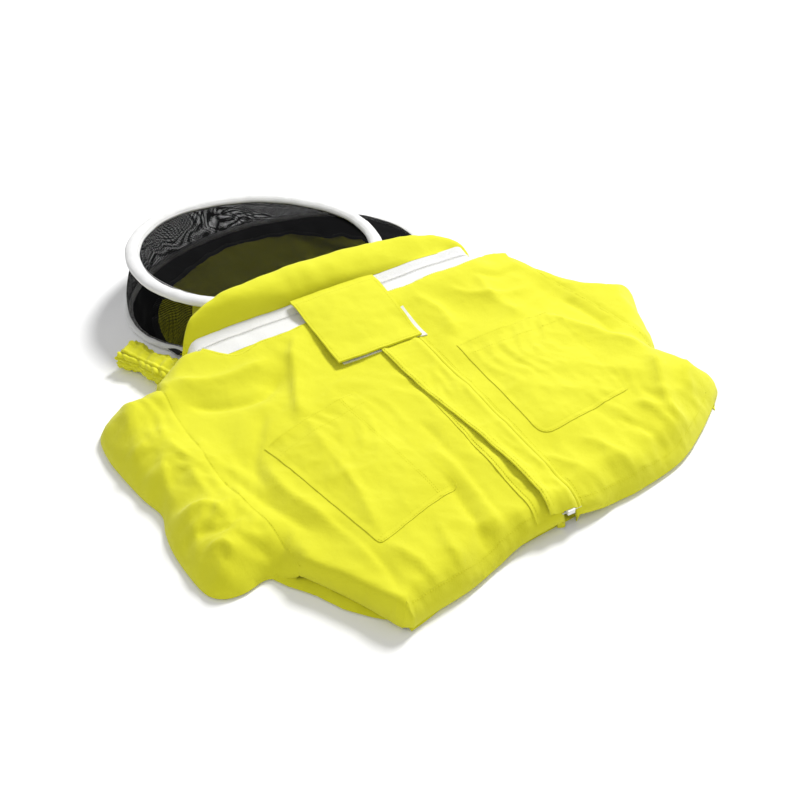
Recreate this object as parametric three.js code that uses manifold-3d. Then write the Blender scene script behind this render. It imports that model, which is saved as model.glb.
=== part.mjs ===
// A beekeeping jacket with its zip-on veil hood, laid front side up with the sleeves folded under
// and the hood thrown back behind the collar. Millimetres, +Z up, +Y towards the hood, +X the
// wearer's left. The origin is on the surface the jacket lies on, under the middle of its back.
import * as THREE from 'three';
import { mergeVertices } from 'three/addons/utils/BufferGeometryUtils.js';
import Module from 'manifold-3d';

const wasm = await Module();
wasm.setup();

// ---- driving dimensions -------------------------------------------------------------------
const GAP = 0.3; // clearance between sewn or seated neighbours
const CLOTH_BACK = 6; // thickness that stands in for the back's cloth layers
const SLEEVE_UNDER = 11.7; // folded-under part of a sleeve
const BACK_RAISED = SLEEVE_UNDER + 0.8; // where the back panel passes over the sleeves
const BACK_RAISED_TOP = BACK_RAISED + CLOTH_BACK;
const FRONT_LOW = BACK_RAISED_TOP + 3.5; // underside of the front panels
const FRONT_THICK = 12; // front panels with their air and facings
const FRONT_TOP = FRONT_LOW + FRONT_THICK;
const SLEEVE_TOP_LOW = BACK_RAISED_TOP + 0.5; // underside of a sleeve's upper layer
const SLEEVE_TOP_THICK = 14;
const RIM = 8; // width of the turned-down side edges

const HEM_WIDTH = 28; // elasticated waist channel
const HEM_FRONT_THICK = 14;
const HEM_BACK_THICK = 8;
const ELASTIC_THICK = 2.4;
const HEM_TURN = 4; // cloth past the elastic at the free edge
const HEM_ELASTIC_WIDTH = 20;

const CUFF_WIDTH = 44;
const CUFF_HEIGHT = 11.4;
const CUFF_LENGTH = 54;
const CUFF_WALL = 1.6;
const CUFF_ELASTIC_WALL = 1.2;
const CUFF_ELASTIC_LENGTH = 20;

const POCKET_ROOM = 5.3; // height inside a patch pocket
const POCKET_CLOTH = 2.2;
const POCKET_SEAM = 4;
const PEN_SLOT_WIDTH = 24;

const ZIP_TOP = new THREE.Vector2(52.4, 124); // upper end of the front zip
const ZIP_LENGTH = 405;
const ZIP_LEAN = THREE.MathUtils.degToRad(1.757);
const ZIP_GROOVE = 14; // width left open between the front panels
const TAPE_WIDTH = 14.3;
const TAPE_THICK = 1.2;
const TAPE_SLIT = 1.4; // between the two halves of a zip
const COIL_WIDTH = 2.3;
const COIL_HEIGHT = 2;
const ZIP_BOX_LENGTH = 13.4;

const SLIDER = { length: 14, width: 9, plate: 1.7, flange: 1.1, post: 0.8, postLength: 3 };
const ARCH = { width: 1.6, height: 4.6, span: 8.4, bar: 1.4 };
const PULL = { width: 8, thick: 1.6, bar: 1.5, lift: 0.6, eye: 3.4 };
const FRONT_PULL_LENGTH = 26;
const HOOD_PULL_LENGTH = 18;

const PLACKET_STRIP = { left: -34, thick: 1.3 };
const STORM_FLAP = {
  left: -36, right: 10, top: 77, thick: 2.6, low: FRONT_TOP + GAP + PLACKET_STRIP.thick + 0.7,
};

const NECK = { x: 10, z: 27, straight: 188, radius: 17, wall: 3 };
const COLLAR_Y = 126;
const COLLAR_WIDTH = 26;
const HOOD_TAPE_WIDTH = 12;
const HOOD_SLIDERS_APART = 24;

const NECK_FLAP = { left: -51, right: 68, length: 123.6, thick: 2.4, z: 57, slope: 7.7, past: 1.4 };
const HOOKS = { inset: 6, from: 68, to: 116, thick: 1.4 };
const LOOP_THICK = 1.5;

const RING = { x: -29, y: 308, z: 57, halfX: 165, halfY: 140, tilt: 6.9, straightFrom: 80, pinch: 0.00722 };
const RING_BINDING = { width: 16, height: 7, bore: 2.6, slit: 0.9 };
const RING_WIRE_R = 2.1;
const RING_STEPS = 72;
const FACE_MESH_THICK = 1.2;
const FACE_MESH_INSET = 3.4;

const HOOP = { x: -2, y: 300, halfX: 210, halfY: 145, from: -37, to: 217 };
const HOOP_BINDING = { width: 10, height: 7, bore: 1.9, slit: 0.7 };
const HOOP_WIRE_R = 1.4;
const HOOP_STEPS = 40;
const SIDE_MESH_THICK = 2;
const HOOD_BACK_THICK = 5;
const HOOD_SEAM = { x: 5, y: 300, halfX: 150, halfY: 112, width: 8, thick: 1 };

const TAPE_TOP = FRONT_LOW - GAP;
const NECK_TOP = NECK.z + NECK.radius;
const NECK_LEFT = NECK.x - NECK.straight - NECK.radius;
const NECK_RIGHT = NECK.x + NECK.straight + NECK.radius;
const NECKLINE_Y = COLLAR_Y - GAP;

// ---- materials ------------------------------------------------------------------------------
function material(color, roughness, metalness = 0) {
  return new THREE.MeshStandardMaterial({ color, roughness, metalness });
}
const yellowCloth = () => material(0xf4e21c, 0.85);
const whiteTape = () => material(0xf2f1ea, 0.8);
const whiteElastic = () => material(0xeceae0, 0.9);
const blackNet = () => material(0x17171a, 0.7);
const whitePlastic = () => material(0xf3f3ee, 0.45);
const whiteMetal = () => material(0xe9e9e4, 0.35, 0.6);
const steel = () => material(0xb9bcc0, 0.3, 0.9);

const model = new THREE.Group();

function node(name, geometry, look, parent = model) {
  const mesh = new THREE.Mesh(geometry, look);
  mesh.name = name;
  parent.add(mesh);
  return mesh;
}

function group(x, y, z, parent = model) {
  const holder = new THREE.Group();
  holder.position.set(x, y, z);
  parent.add(holder);
  return holder;
}

// ---- geometry helpers -------------------------------------------------------------------------
function solidOf(geometry) {
  const bare = geometry.clone();
  bare.deleteAttribute('normal');
  bare.deleteAttribute('uv');
  const merged = mergeVertices(bare, 1e-4);
  return new wasm.Manifold(new wasm.Mesh({
    numProp: 3,
    vertProperties: Float32Array.from(merged.attributes.position.array),
    triVerts: Uint32Array.from(merged.index.array),
  }));
}

function geometryOf(solid) {
  const mesh = solid.getMesh();
  const geometry = new THREE.BufferGeometry();
  geometry.setAttribute('position', new THREE.BufferAttribute(Float32Array.from(mesh.vertProperties), 3));
  geometry.setIndex(new THREE.BufferAttribute(Uint32Array.from(mesh.triVerts), 1));
  geometry.computeVertexNormals();
  return geometry;
}

function join(...geometries) {
  return geometryOf(geometries.map(solidOf).reduce((whole, piece) => whole.add(piece)));
}

function cut(base, ...tools) {
  return geometryOf(tools.map(solidOf).reduce((left, tool) => left.subtract(tool), solidOf(base)));
}

function shapeOf(points) {
  return new THREE.Shape(points.map(([x, y]) => new THREE.Vector2(x, y)));
}

// A plan outline raised from z = low to z = high.
function prism(outline, low, high) {
  const shape = outline instanceof THREE.Shape ? outline : shapeOf(outline);
  const geometry = new THREE.ExtrudeGeometry(shape, { depth: high - low, bevelEnabled: false });
  return geometry.translate(0, 0, low);
}

// An outline in X and Z drawn out from y = near to y = far.
function section(shape, near, far) {
  const options = { depth: far - near, bevelEnabled: false, curveSegments: 8 };
  return new THREE.ExtrudeGeometry(shape, options).rotateX(Math.PI / 2).translate(0, far, 0);
}

function box([x0, x1], [y0, y1], [z0, z1]) {
  const geometry = new THREE.BoxGeometry(x1 - x0, y1 - y0, z1 - z0);
  return geometry.translate((x0 + x1) / 2, (y0 + y1) / 2, (z0 + z1) / 2);
}

// A band of the given width on the left of a polyline.
function strip(points, width) {
  const inner = leftOf(points.map(([x, y]) => new THREE.Vector2(x, y)), width, false);
  return [...points, ...inner.reverse().map((p) => [p.x, p.y])];
}

function leftNormals(path, closed) {
  const last = path.length - 1;
  return path.map((_, i) => {
    const before = path[i > 0 ? i - 1 : closed ? last : 0];
    const after = path[i < last ? i + 1 : closed ? 0 : last];
    const along = after.clone().sub(before).normalize();
    return new THREE.Vector2(-along.y, along.x);
  });
}

function leftOf(path, distance, closed) {
  const normals = leftNormals(path, closed);
  return path.map((p, i) => p.clone().addScaledVector(normals[i], distance));
}

// Joins rings of equally many points into one closed body; an open row of rings gets end caps.
function loft(rings, contour, closed) {
  if (THREE.ShapeUtils.isClockWise(contour)) {
    return loft(rings.map((ring) => [...ring].reverse()), [...contour].reverse(), closed);
  }
  const count = rings[0].length;
  const faces = [];
  const bands = closed ? rings.length : rings.length - 1;
  for (let i = 0; i < bands; i++) {
    const a = i * count;
    const b = ((i + 1) % rings.length) * count;
    for (let j = 0; j < count; j++) {
      const k = (j + 1) % count;
      faces.push(a + j, a + k, b + k, a + j, b + k, b + j);
    }
  }
  if (!closed) {
    const end = (rings.length - 1) * count;
    for (const [p, q, r] of THREE.ShapeUtils.triangulateShape(contour, [])) {
      faces.push(r, q, p, end + p, end + q, end + r);
    }
  }
  const geometry = new THREE.BufferGeometry();
  const flat = rings.flat().flatMap((v) => [v.x, v.y, v.z]);
  geometry.setAttribute('position', new THREE.BufferAttribute(new Float32Array(flat), 3));
  geometry.setIndex(signedVolume(flat, faces) < 0 ? faces.reverse() : faces);
  geometry.computeVertexNormals();
  return geometry;
}

function signedVolume(flat, faces) {
  const corner = (i) => new THREE.Vector3(flat[3 * i], flat[3 * i + 1], flat[3 * i + 2]);
  let volume = 0;
  for (let i = 0; i < faces.length; i += 3) {
    volume += corner(faces[i]).dot(corner(faces[i + 1]).cross(corner(faces[i + 2])));
  }
  return volume;
}

// Sweeps a section of (distance to the left, height) points along a flat path.
function sweep(path, profile, closed) {
  const normals = leftNormals(path, closed);
  const rings = path.map((p, i) => profile.map(([n, z]) => (
    new THREE.Vector3(p.x + n * normals[i].x, p.y + n * normals[i].y, z)
  )));
  return loft(rings, profile.map(([n, z]) => new THREE.Vector2(n, z)), closed);
}

function rectangle([n0, n1], [z0, z1]) {
  return [[n0, z0], [n1, z0], [n1, z1], [n0, z1]];
}

function polygon(radius, sides) {
  return Array.from({ length: sides }, (_, i) => {
    const turn = ((i + 0.5) / sides) * 2 * Math.PI;
    return [radius * Math.cos(turn), radius * Math.sin(turn)];
  });
}

function smooth(points, steps) {
  const curve = new THREE.SplineCurve(points.map(([x, y]) => new THREE.Vector2(x, y)));
  return curve.getPoints(steps);
}

// ---- front opening line -----------------------------------------------------------------------
function zipX(y) {
  return ZIP_TOP.x + (y - ZIP_TOP.y) * Math.tan(ZIP_LEAN);
}
const HALF_GROOVE = ZIP_GROOVE / 2;

// ---- body outlines ----------------------------------------------------------------------------
// Hem lines run from the wearer's right to the wearer's left along the lower edge.
const HEM_Y = ZIP_TOP.y - ZIP_LENGTH;
const hemRight = smooth([[-183, -312], [-137, -304], [-58, -289], [zipX(HEM_Y) - HALF_GROOVE, HEM_Y]], 10);
const hemLeft = smooth(
  [[zipX(HEM_Y) + HALF_GROOVE + 3, HEM_Y + 1], [120, -273], [198, -266], [258, -241], [316, -212]], 12);
const hemBack = smooth([[-184, -318], [-60, -296], [60, -287], [190, -276], [256, -248], [318, -217]], 16);

const armholeRight = [[-251, 150], [-246, -6], [-237, -170]];
const sideRight = [[-237, -170], [-236, -204], [-224, -229], [-187, -283]];
const armholeLeft = [[300, -98], [285, 20], [263, 164]];
const sideLeft = [[303, -184], [318, -170], [300, -98]];

function asPoints(path) {
  return path.map((p) => [p.x, p.y]);
}

// The panel's lower edge, just above the waist channel.
function aboveHem(hem) {
  return asPoints(leftOf(hem, HEM_WIDTH + GAP, false));
}

// ---- body ---------------------------------------------------------------------------------------
function addBackPanel() {
  const lower = aboveHem(hemBack);
  const outline = [
    ...lower, [325, -170], [318, -98], [300, 90], [262, 176], [NECK_RIGHT + 6, 170], [NECK_RIGHT + 6, NECKLINE_Y],
    [NECK_LEFT - 6, NECKLINE_Y], [NECK_LEFT - 6, 172], [-262, 150], [-277, 112], [-277, -176], [-236, -236],
  ];
  const underRight = box([-400, -165], [-174, 300], [-1, BACK_RAISED]);
  const underLeft = box([104, 400], [-86, 300], [-1, BACK_RAISED]);
  const wall = CLOTH_BACK;
  const flat = [
    [-400, -400], [400, -400], [400, -86 - wall], [104 - wall, -86 - wall], [104 - wall, 400],
    [-165 + wall, 400], [-165 + wall, -174 - wall], [-400, -174 - wall],
  ];
  const shell = cut(
    prism(outline, 0, BACK_RAISED_TOP), underRight, underLeft, prism(flat, CLOTH_BACK, BACK_RAISED_TOP + 1));
  const neckSeat = box([-150, 95], [NECKLINE_Y - 14, NECKLINE_Y], [CLOTH_BACK - 1, NECK.z - NECK.radius + NECK.wall]);
  node('back_panel', join(shell, neckSeat), yellowCloth());
}

function addFrontRight() {
  const lower = aboveHem(hemRight);
  const lowerEnd = lower.at(-1)[1] + 0.5;
  const outline = [
    ...lower, [zipX(lowerEnd) - HALF_GROOVE, lowerEnd], [zipX(NECKLINE_Y) - HALF_GROOVE, NECKLINE_Y], [NECK_LEFT - 6, NECKLINE_Y],
    [NECK_LEFT - 8, 172], ...armholeRight, ...sideRight.slice(1, 3),
  ];
  const neckSeat = [
    [NECK_LEFT + NECK.radius, NECKLINE_Y - 14], [zipX(NECKLINE_Y) - HALF_GROOVE, NECKLINE_Y - 14],
    [zipX(NECKLINE_Y) - HALF_GROOVE, NECKLINE_Y], [NECK_LEFT + NECK.radius, NECKLINE_Y],
  ];
  node('front_panel_right', join(
    prism(outline, FRONT_LOW, FRONT_TOP),
    prism(strip([[-203, 168], ...armholeRight], RIM), BACK_RAISED_TOP + GAP, FRONT_LOW + 1),
    prism(strip(sideRight.slice(1), RIM), CLOTH_BACK + GAP, FRONT_LOW + 1),
    prism(neckSeat, FRONT_TOP - 1, NECK_TOP),
  ), yellowCloth());
}

function addFrontLeft() {
  const lower = aboveHem(hemLeft);
  const lowerEnd = lower[0][1] + 0.5;
  const outline = [
    ...lower, ...sideLeft.slice(1), ...armholeLeft.slice(1), [NECK_RIGHT + 8, 168], [NECK_RIGHT + 6, NECKLINE_Y],
    [zipX(NECKLINE_Y) + HALF_GROOVE, NECKLINE_Y], [zipX(lowerEnd) + HALF_GROOVE, lowerEnd],
  ];
  const neckSeat = [
    [zipX(NECKLINE_Y) + HALF_GROOVE, NECKLINE_Y - 14], [NECK_RIGHT - NECK.radius, NECKLINE_Y - 14],
    [NECK_RIGHT - NECK.radius, NECKLINE_Y], [zipX(NECKLINE_Y) + HALF_GROOVE, NECKLINE_Y],
  ];
  node('front_panel_left', join(
    prism(outline, FRONT_LOW, FRONT_TOP),
    prism(strip(armholeLeft, RIM), BACK_RAISED_TOP + GAP, FRONT_LOW + 1),
    prism(strip([[303, -184], [316, -170], [303, -110]], RIM), CLOTH_BACK + GAP, FRONT_LOW + 1),
    prism(neckSeat, FRONT_TOP - 1, NECK_TOP),
  ), yellowCloth());
}

// ---- sleeves and cuffs ------------------------------------------------------------------------
// Each sleeve is one piece: the layer on top, the fold along its outer edge and the part below.
function addSleeve(name, upper, fold, under) {
  node(name, join(
    prism(upper, SLEEVE_TOP_LOW, SLEEVE_TOP_LOW + SLEEVE_TOP_THICK),
    prism(fold, 0, SLEEVE_TOP_LOW + SLEEVE_TOP_THICK),
    prism(under, 0, SLEEVE_UNDER),
  ), yellowCloth());
}

function addSleeves() {
  const clear = 0.5;
  const seamRight = armholeRight.map(([x, y]) => [x - clear, y]);
  addSleeve(
    'sleeve_right',
    [...seamRight, [-237 - clear, -205], [-273, -177], [-333, -169], [-336, -64], [-335, 112], [-290, 141]],
    [[-333, -169], [-325, -167], [-328, -64], [-327, 108], [-335, 112], [-336, -64]],
    [[-333, -169], [-200, -160], [-172, -110], [-172, 100], [-204, 122], [-212, 196], [-266, 196], [-335, 112], [-336, -64]],
  );
  const seamLeft = armholeLeft.map(([x, y]) => [x + clear, y]);
  addSleeve(
    'sleeve_left',
    [...seamLeft, [270, 160], [311, 76], [371, 18], [331, -70], [311, -98]],
    [[311, 76], [304, 70], [359, 17], [323, -66], [331, -70], [371, 18]],
    [[371, 18], [311, 76], [250, 96], [164, 40], [164, -50], [250, -80], [331, -70]],
  );
}

function stadium(straight, radius) {
  const shape = new THREE.Shape();
  shape.moveTo(-straight, -radius);
  shape.lineTo(straight, -radius);
  shape.absarc(straight, 0, radius, -Math.PI / 2, Math.PI / 2, false);
  shape.lineTo(-straight, radius);
  shape.absarc(-straight, 0, radius, Math.PI / 2, 1.5 * Math.PI, false);
  return shape;
}

// A flattened tube along Y: straight sides, half-round ends.
function flatTube(straight, radius, wall, near, far) {
  const ring = stadium(straight, radius);
  ring.holes.push(stadium(straight, radius - wall));
  return section(ring, near, far);
}

function addCuff(side, x, y, turn) {
  const holder = group(x, y, CUFF_HEIGHT / 2);
  holder.rotation.z = turn;
  const radius = CUFF_HEIGHT / 2;
  const straight = CUFF_WIDTH / 2 - radius;
  node(`cuff_${side}`, flatTube(straight, radius, CUFF_WALL, 0, CUFF_LENGTH), yellowCloth(), holder);
  const inner = radius - CUFF_WALL - GAP;
  const from = CUFF_LENGTH / 2 - CUFF_ELASTIC_LENGTH / 2;
  node(
    `cuff_elastic_${side}`,
    flatTube(straight, inner, CUFF_ELASTIC_WALL, from, from + CUFF_ELASTIC_LENGTH), whiteElastic(), holder);
}

// ---- elasticated waist ------------------------------------------------------------------------
// A channel open towards the panel, with a flat elastic inside it.
function addHem(side, path, low, thick) {
  const middle = low + thick / 2;
  const slot = ELASTIC_THICK / 2 + GAP;
  const end = HEM_WIDTH - 4;
  const channel = [
    [2, low], [HEM_WIDTH, low], [HEM_WIDTH, middle - slot], [HEM_TURN, middle - slot],
    [HEM_TURN, middle + slot], [HEM_WIDTH, middle + slot], [HEM_WIDTH, low + thick], [2, low + thick],
    [0, low + thick - 2], [0, low + 2],
  ];
  node(`hem_band_${side}`, sweep(path, channel, false), yellowCloth());
  const elastic = rectangle(
    [end - HEM_ELASTIC_WIDTH + 1, end], [middle - ELASTIC_THICK / 2, middle + ELASTIC_THICK / 2]);
  node(`hem_elastic_${side}`, sweep(path.slice(1, -1), elastic, false), whiteElastic());
}

// ---- pockets ------------------------------------------------------------------------------------
// Patch pocket sewn on three sides and open along its upper edge.
function pocketShell(corners, hollows) {
  const low = FRONT_TOP + GAP;
  const room = low + POCKET_ROOM;
  return cut(
    prism(corners, low, room + POCKET_CLOTH),
    ...hollows.map((hollow) => prism(hollow, low - 1, room)),
  );
}

function addPockets() {
  const right = { tl: [-197, -26], tr: [-61, 0], br: [-47, -197], bl: [-162, -221] };
  const left = { tl: [90, 14], tr: [232, 10], br: [218, -162], bl: [78, -179] };
  const seam = POCKET_SEAM;
  const past = 10;
  const penEdge = PEN_SLOT_WIDTH + seam;
  node('pocket_right', pocketShell([right.bl, right.br, right.tr, right.tl], [
    [[right.bl[0] + seam, right.bl[1] + 5], [right.br[0] - penEdge - seam, right.br[1] - 1],
      [right.tr[0] - penEdge - seam, right.tr[1] + past], [right.tl[0] + seam, right.tl[1] + past]],
    [[right.br[0] - penEdge, right.br[1] + 1], [right.br[0] - seam, right.br[1] + 5],
      [right.tr[0] - seam, right.tr[1] + past], [right.tr[0] - penEdge, right.tr[1] + past]],
  ]), yellowCloth());
  node('pocket_left', pocketShell([left.bl, left.br, left.tr, left.tl], [
    [[left.bl[0] + seam, left.bl[1] + seam + 1], [left.br[0] - seam, left.br[1] + seam + 1],
      [left.tr[0] - seam, left.tr[1] + past], [left.tl[0] + seam, left.tl[1] + past]],
  ]), yellowCloth());
}

// ---- zip sliders ----------------------------------------------------------------------------------
// Built over a zip lying flat: z = 0 is the top of the tapes, the pull points along -Y.
function sliderBody() {
  const half = SLIDER.width / 2;
  const long = SLIDER.length / 2;
  const plateLow = GAP + COIL_HEIGHT + GAP;
  const plateTop = plateLow + SLIDER.plate;
  const under = -TAPE_THICK - GAP;
  const post = SLIDER.post / 2;
  const arch = ARCH.span / 2;
  const archWide = ARCH.width / 2;
  const archTop = plateTop + ARCH.height;
  return join(
    box([-half, half], [-long, long], [plateLow, plateTop]),
    box([-half, -half + SLIDER.flange], [-long, long], [GAP + 0.1, plateLow + 0.5]),
    box([half - SLIDER.flange, half], [-long, long], [GAP + 0.1, plateLow + 0.5]),
    box([-half, half], [-long, long], [under - SLIDER.plate, under]),
    box([-post, post], [long - SLIDER.postLength, long], [under - 0.5, plateLow + 0.5]),
    box([-archWide, archWide], [-arch, -arch + ARCH.bar], [plateTop - 0.5, archTop]),
    box([-archWide, archWide], [arch - ARCH.bar, arch], [plateTop - 0.5, archTop]),
    box([-archWide, archWide], [-arch, arch], [archTop - 1.2, archTop]),
  );
}

function pullTab(length) {
  const low = GAP + COIL_HEIGHT + GAP + SLIDER.plate + PULL.lift;
  const half = PULL.width / 2;
  const eye = PULL.eye / 2;
  const eyeEnd = ARCH.span / 2 + 1.4;
  return cut(
    box([-half, half], [-length, PULL.bar / 2], [low, low + PULL.thick]),
    box([-eye, eye], [-eyeEnd, -PULL.bar / 2], [low - 1, low + PULL.thick + 1]),
    box([-eye, eye], [-length + 3, -length + 7], [low - 1, low + PULL.thick + 1]),
  );
}

function addSlider(name, pullName, holder, pullLength) {
  node(name, sliderBody(), whiteMetal(), holder);
  node(pullName, pullTab(pullLength), whiteMetal(), holder);
}

// ---- front zip with its covering flap -------------------------------------------------------------
function addFrontZip() {
  const holder = group(ZIP_TOP.x, ZIP_TOP.y, 0);
  holder.rotation.z = -ZIP_LEAN;
  const slit = TAPE_SLIT / 2;
  const end = -ZIP_LENGTH + ZIP_BOX_LENGTH + 2 * GAP;
  const coilLow = TAPE_TOP + GAP;
  for (const [side, sign] of [['right', -1], ['left', 1]]) {
    const across = (from, to) => [Math.min(sign * from, sign * to), Math.max(sign * from, sign * to)];
    node(`front_zip_tape_${side}`, box(
      across(slit, slit + TAPE_WIDTH), [end, 0], [TAPE_TOP - TAPE_THICK, TAPE_TOP]), whiteTape(), holder);
    node(`front_zip_coil_${side}`, box(
      across(slit, slit + COIL_WIDTH), [end, 0], [coilLow, coilLow + COIL_HEIGHT]), whitePlastic(), holder);
  }
  node('front_zip_box', box(
    [-4.5, 4.5], [-ZIP_LENGTH, -ZIP_LENGTH + ZIP_BOX_LENGTH], [TAPE_TOP - 2.4, coilLow + 3]), whitePlastic(), holder);
  const slider = group(0, -12, TAPE_TOP, holder);
  addSlider('front_slider', 'front_pull', slider, FRONT_PULL_LENGTH);

  const hemEdge = -ZIP_LENGTH + HEM_WIDTH + 6;
  node('placket_strip', box(
    [PLACKET_STRIP.left, -HALF_GROOVE - GAP], [hemEdge, -STORM_FLAP.top],
    [FRONT_TOP + GAP, FRONT_TOP + GAP + PLACKET_STRIP.thick]), yellowCloth(), holder);
  node('storm_flap', box(
    [STORM_FLAP.left, STORM_FLAP.right], [-ZIP_LENGTH + 2, -STORM_FLAP.top],
    [STORM_FLAP.low, STORM_FLAP.low + STORM_FLAP.thick]), yellowCloth(), holder);
  node('storm_flap_seam', box(
    [STORM_FLAP.right + GAP, STORM_FLAP.right + 4], [hemEdge, -STORM_FLAP.top],
    [FRONT_TOP + GAP, STORM_FLAP.low + STORM_FLAP.thick]), yellowCloth(), holder);
}

// ---- collar and hood zip --------------------------------------------------------------------------
function addCollar() {
  const holder = group(NECK.x, 0, NECK.z);
  const collarEnd = COLLAR_Y + COLLAR_WIDTH;
  node('collar', flatTube(NECK.straight, NECK.radius, NECK.wall, COLLAR_Y, collarEnd), yellowCloth(), holder);
  const tapeR = NECK.radius - 0.5;
  const slitNear = collarEnd + GAP + HOOD_TAPE_WIDTH;
  const slitFar = slitNear + TAPE_SLIT;
  const coilR = tapeR + GAP + COIL_HEIGHT;
  const halves = [
    ['lower', collarEnd + GAP, slitNear, slitNear - COIL_WIDTH, slitNear],
    ['upper', slitFar, slitFar + HOOD_TAPE_WIDTH, slitFar, slitFar + COIL_WIDTH],
  ];
  for (const [half, tapeNear, tapeFar, coilNear, coilFar] of halves) {
    node(`hood_zip_tape_${half}`,
      flatTube(NECK.straight, tapeR, TAPE_THICK, tapeNear, tapeFar), whiteTape(), holder);
    node(`hood_zip_coil_${half}`,
      flatTube(NECK.straight, coilR, COIL_HEIGHT, coilNear, coilFar), whitePlastic(), holder);
  }
  const sliderY = (slitNear + slitFar) / 2;
  for (const [side, sign] of [['right', -1], ['left', 1]]) {
    const slider = group(sign * HOOD_SLIDERS_APART / 2, sliderY, tapeR, holder);
    slider.rotation.z = sign * Math.PI / 2;
    addSlider(`hood_slider_${side}`, `hood_pull_${side}`, slider, HOOD_PULL_LENGTH);
  }
}

const HOOD_TAPE_END = COLLAR_Y + COLLAR_WIDTH + GAP + 2 * HOOD_TAPE_WIDTH + TAPE_SLIT;
const BAND_Y = HOOD_TAPE_END + 0.6;

// The bib of the hood: rises from the zip, rolls over the veil's ring and ends in a free rear edge.
function addNeckband() {
  const rear = new THREE.CatmullRomCurve3([
    [-182, 194, 68], [-150, 196, 80], [-118, 209, 81], [-12, 221, 79], [65, 226, 73], [160, 218, 61], [197, 212, 52],
  ].map((p) => new THREE.Vector3(...p)));
  const foot = NECK_TOP - 1;
  const across = (w) => [
    [0, null], [0.03 * w, -14], [0.15 * w, -4], [0.35 * w, 0], [0.88 * w, 0], [w, -4],
    [w - 2.2, -5.5], [0.85 * w, -3], [0.38 * w, -3], [0.15 * w + 2.4, -6], [0.03 * w + 3, -15], [3, null],
  ];
  const contourOf = (p) => across(p.y - BAND_Y).map(([y, dz]) => (
    new THREE.Vector2(BAND_Y + y, dz === null ? foot : Math.max(foot + 1.5, p.z + dz))
  ));
  const stations = rear.getPoints(26);
  const rings = stations.map((p) => contourOf(p).map((c) => new THREE.Vector3(p.x, c.x, c.y)));
  node('neckband_front', loft(rings, contourOf(stations[0]), false), yellowCloth());

  const bottom = NECK.z - NECK.radius + 0.5;
  const far = hoodBackOutline()[0].y - GAP;
  const profile = [
    [BAND_Y, bottom], [BAND_Y, bottom + 3], [far, HOOD_BACK_THICK - 0.5], [far, 0.5],
  ].map(([y, z]) => new THREE.Vector2(y, z));
  const ends = [-157, 153];
  const back = ends.map((x) => profile.map((p) => new THREE.Vector3(x, p.x, p.y)));
  node('neckband_back', loft(back, profile, false), yellowCloth());
}

// ---- neck flap with hook-and-loop -----------------------------------------------------------------
function addNeckFlap() {
  const pivotY = BAND_Y - 1.7;
  const holder = group(0, pivotY, NECK_FLAP.z);
  holder.rotation.x = THREE.MathUtils.degToRad(NECK_FLAP.slope);
  const half = NECK_FLAP.thick / 2;
  const across = [NECK_FLAP.left, NECK_FLAP.right];
  node('neck_flap', box(across, [NECK_FLAP.past - NECK_FLAP.length, NECK_FLAP.past], [-half, half]), yellowCloth(), holder);
  node('neck_flap_hooks', box(
    [NECK_FLAP.left + HOOKS.inset, NECK_FLAP.right - HOOKS.inset], [-HOOKS.to, -HOOKS.from],
    [-half - GAP - HOOKS.thick, -half - GAP]), whiteTape(), holder);
  const loopY = [49, 108];
  const loopZ = [FRONT_TOP + GAP, FRONT_TOP + GAP + LOOP_THICK];
  const grooveLeft = zipX(loopY[0]) - HALF_GROOVE;
  const grooveRight = zipX(loopY[1]) + HALF_GROOVE;
  node('loop_patch_right', box([NECK_FLAP.left + 3, grooveLeft], loopY, loopZ), whiteTape());
  node('loop_patch_left', box([grooveRight, NECK_FLAP.right + 5], loopY, loopZ), whiteTape());
}

// ---- veil ring --------------------------------------------------------------------------------------
// The oval is pinched flatter where it passes under the neckband.
function ringPath(halfX, halfY, from, to, steps, closed) {
  const count = closed ? steps : steps + 1;
  return Array.from({ length: count }, (_, i) => {
    const turn = THREE.MathUtils.degToRad(from + (to - from) * (i / steps));
    const y = halfY * Math.sin(turn);
    const over = Math.max(0, -y - RING.straightFrom);
    return new THREE.Vector2(halfX * Math.cos(turn), y + RING.pinch * over * over);
  });
}

// Tape folded round a wire: a flattened tube with a slit on its inner side.
function bindingSection({ width, height, bore, slit }, middle) {
  const w = width / 2;
  const h = height / 2;
  const b = bore;
  return [
    [-w, -h + 1.5], [-w + 1.5, -h], [w - 1.5, -h], [w, -h + 1.5], [w, -slit], [b, -slit],
    [b * 0.46, -b + 0.1], [-b * 0.46, -b + 0.1], [-b, -b * 0.42], [-b, b * 0.42], [-b * 0.46, b - 0.1],
    [b * 0.46, b - 0.1], [b, slit], [w, slit], [w, h - 1.5], [w - 1.5, h], [-w + 1.5, h], [-w, h - 1.5],
  ].map(([n, z]) => [n, z + middle]);
}

function addVeilRing() {
  const holder = group(RING.x, RING.y, RING.z);
  holder.rotation.y = THREE.MathUtils.degToRad(RING.tilt);
  const path = ringPath(RING.halfX, RING.halfY, 0, 360, RING_STEPS, true);
  node('ring_binding', sweep(path, bindingSection(RING_BINDING, 0), true), whiteTape(), holder);
  node('ring_wire', sweep(path, polygon(RING_WIRE_R, 8), true), steel(), holder);
  const edge = leftOf(path, FACE_MESH_INSET, true);
  node('face_mesh', prism(asPoints(edge), -FACE_MESH_THICK / 2, FACE_MESH_THICK / 2), blackNet(), holder);
}

// ---- hood back, side mesh and rear hoop -------------------------------------------------------------
function hoopPath() {
  const turnOf = (i) => THREE.MathUtils.degToRad(HOOP.from + ((HOOP.to - HOOP.from) * i) / HOOP_STEPS);
  return Array.from({ length: HOOP_STEPS + 1 }, (_, i) => new THREE.Vector2(
    HOOP.x + HOOP.halfX * Math.cos(turnOf(i)), HOOP.y + HOOP.halfY * Math.sin(turnOf(i))));
}

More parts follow.
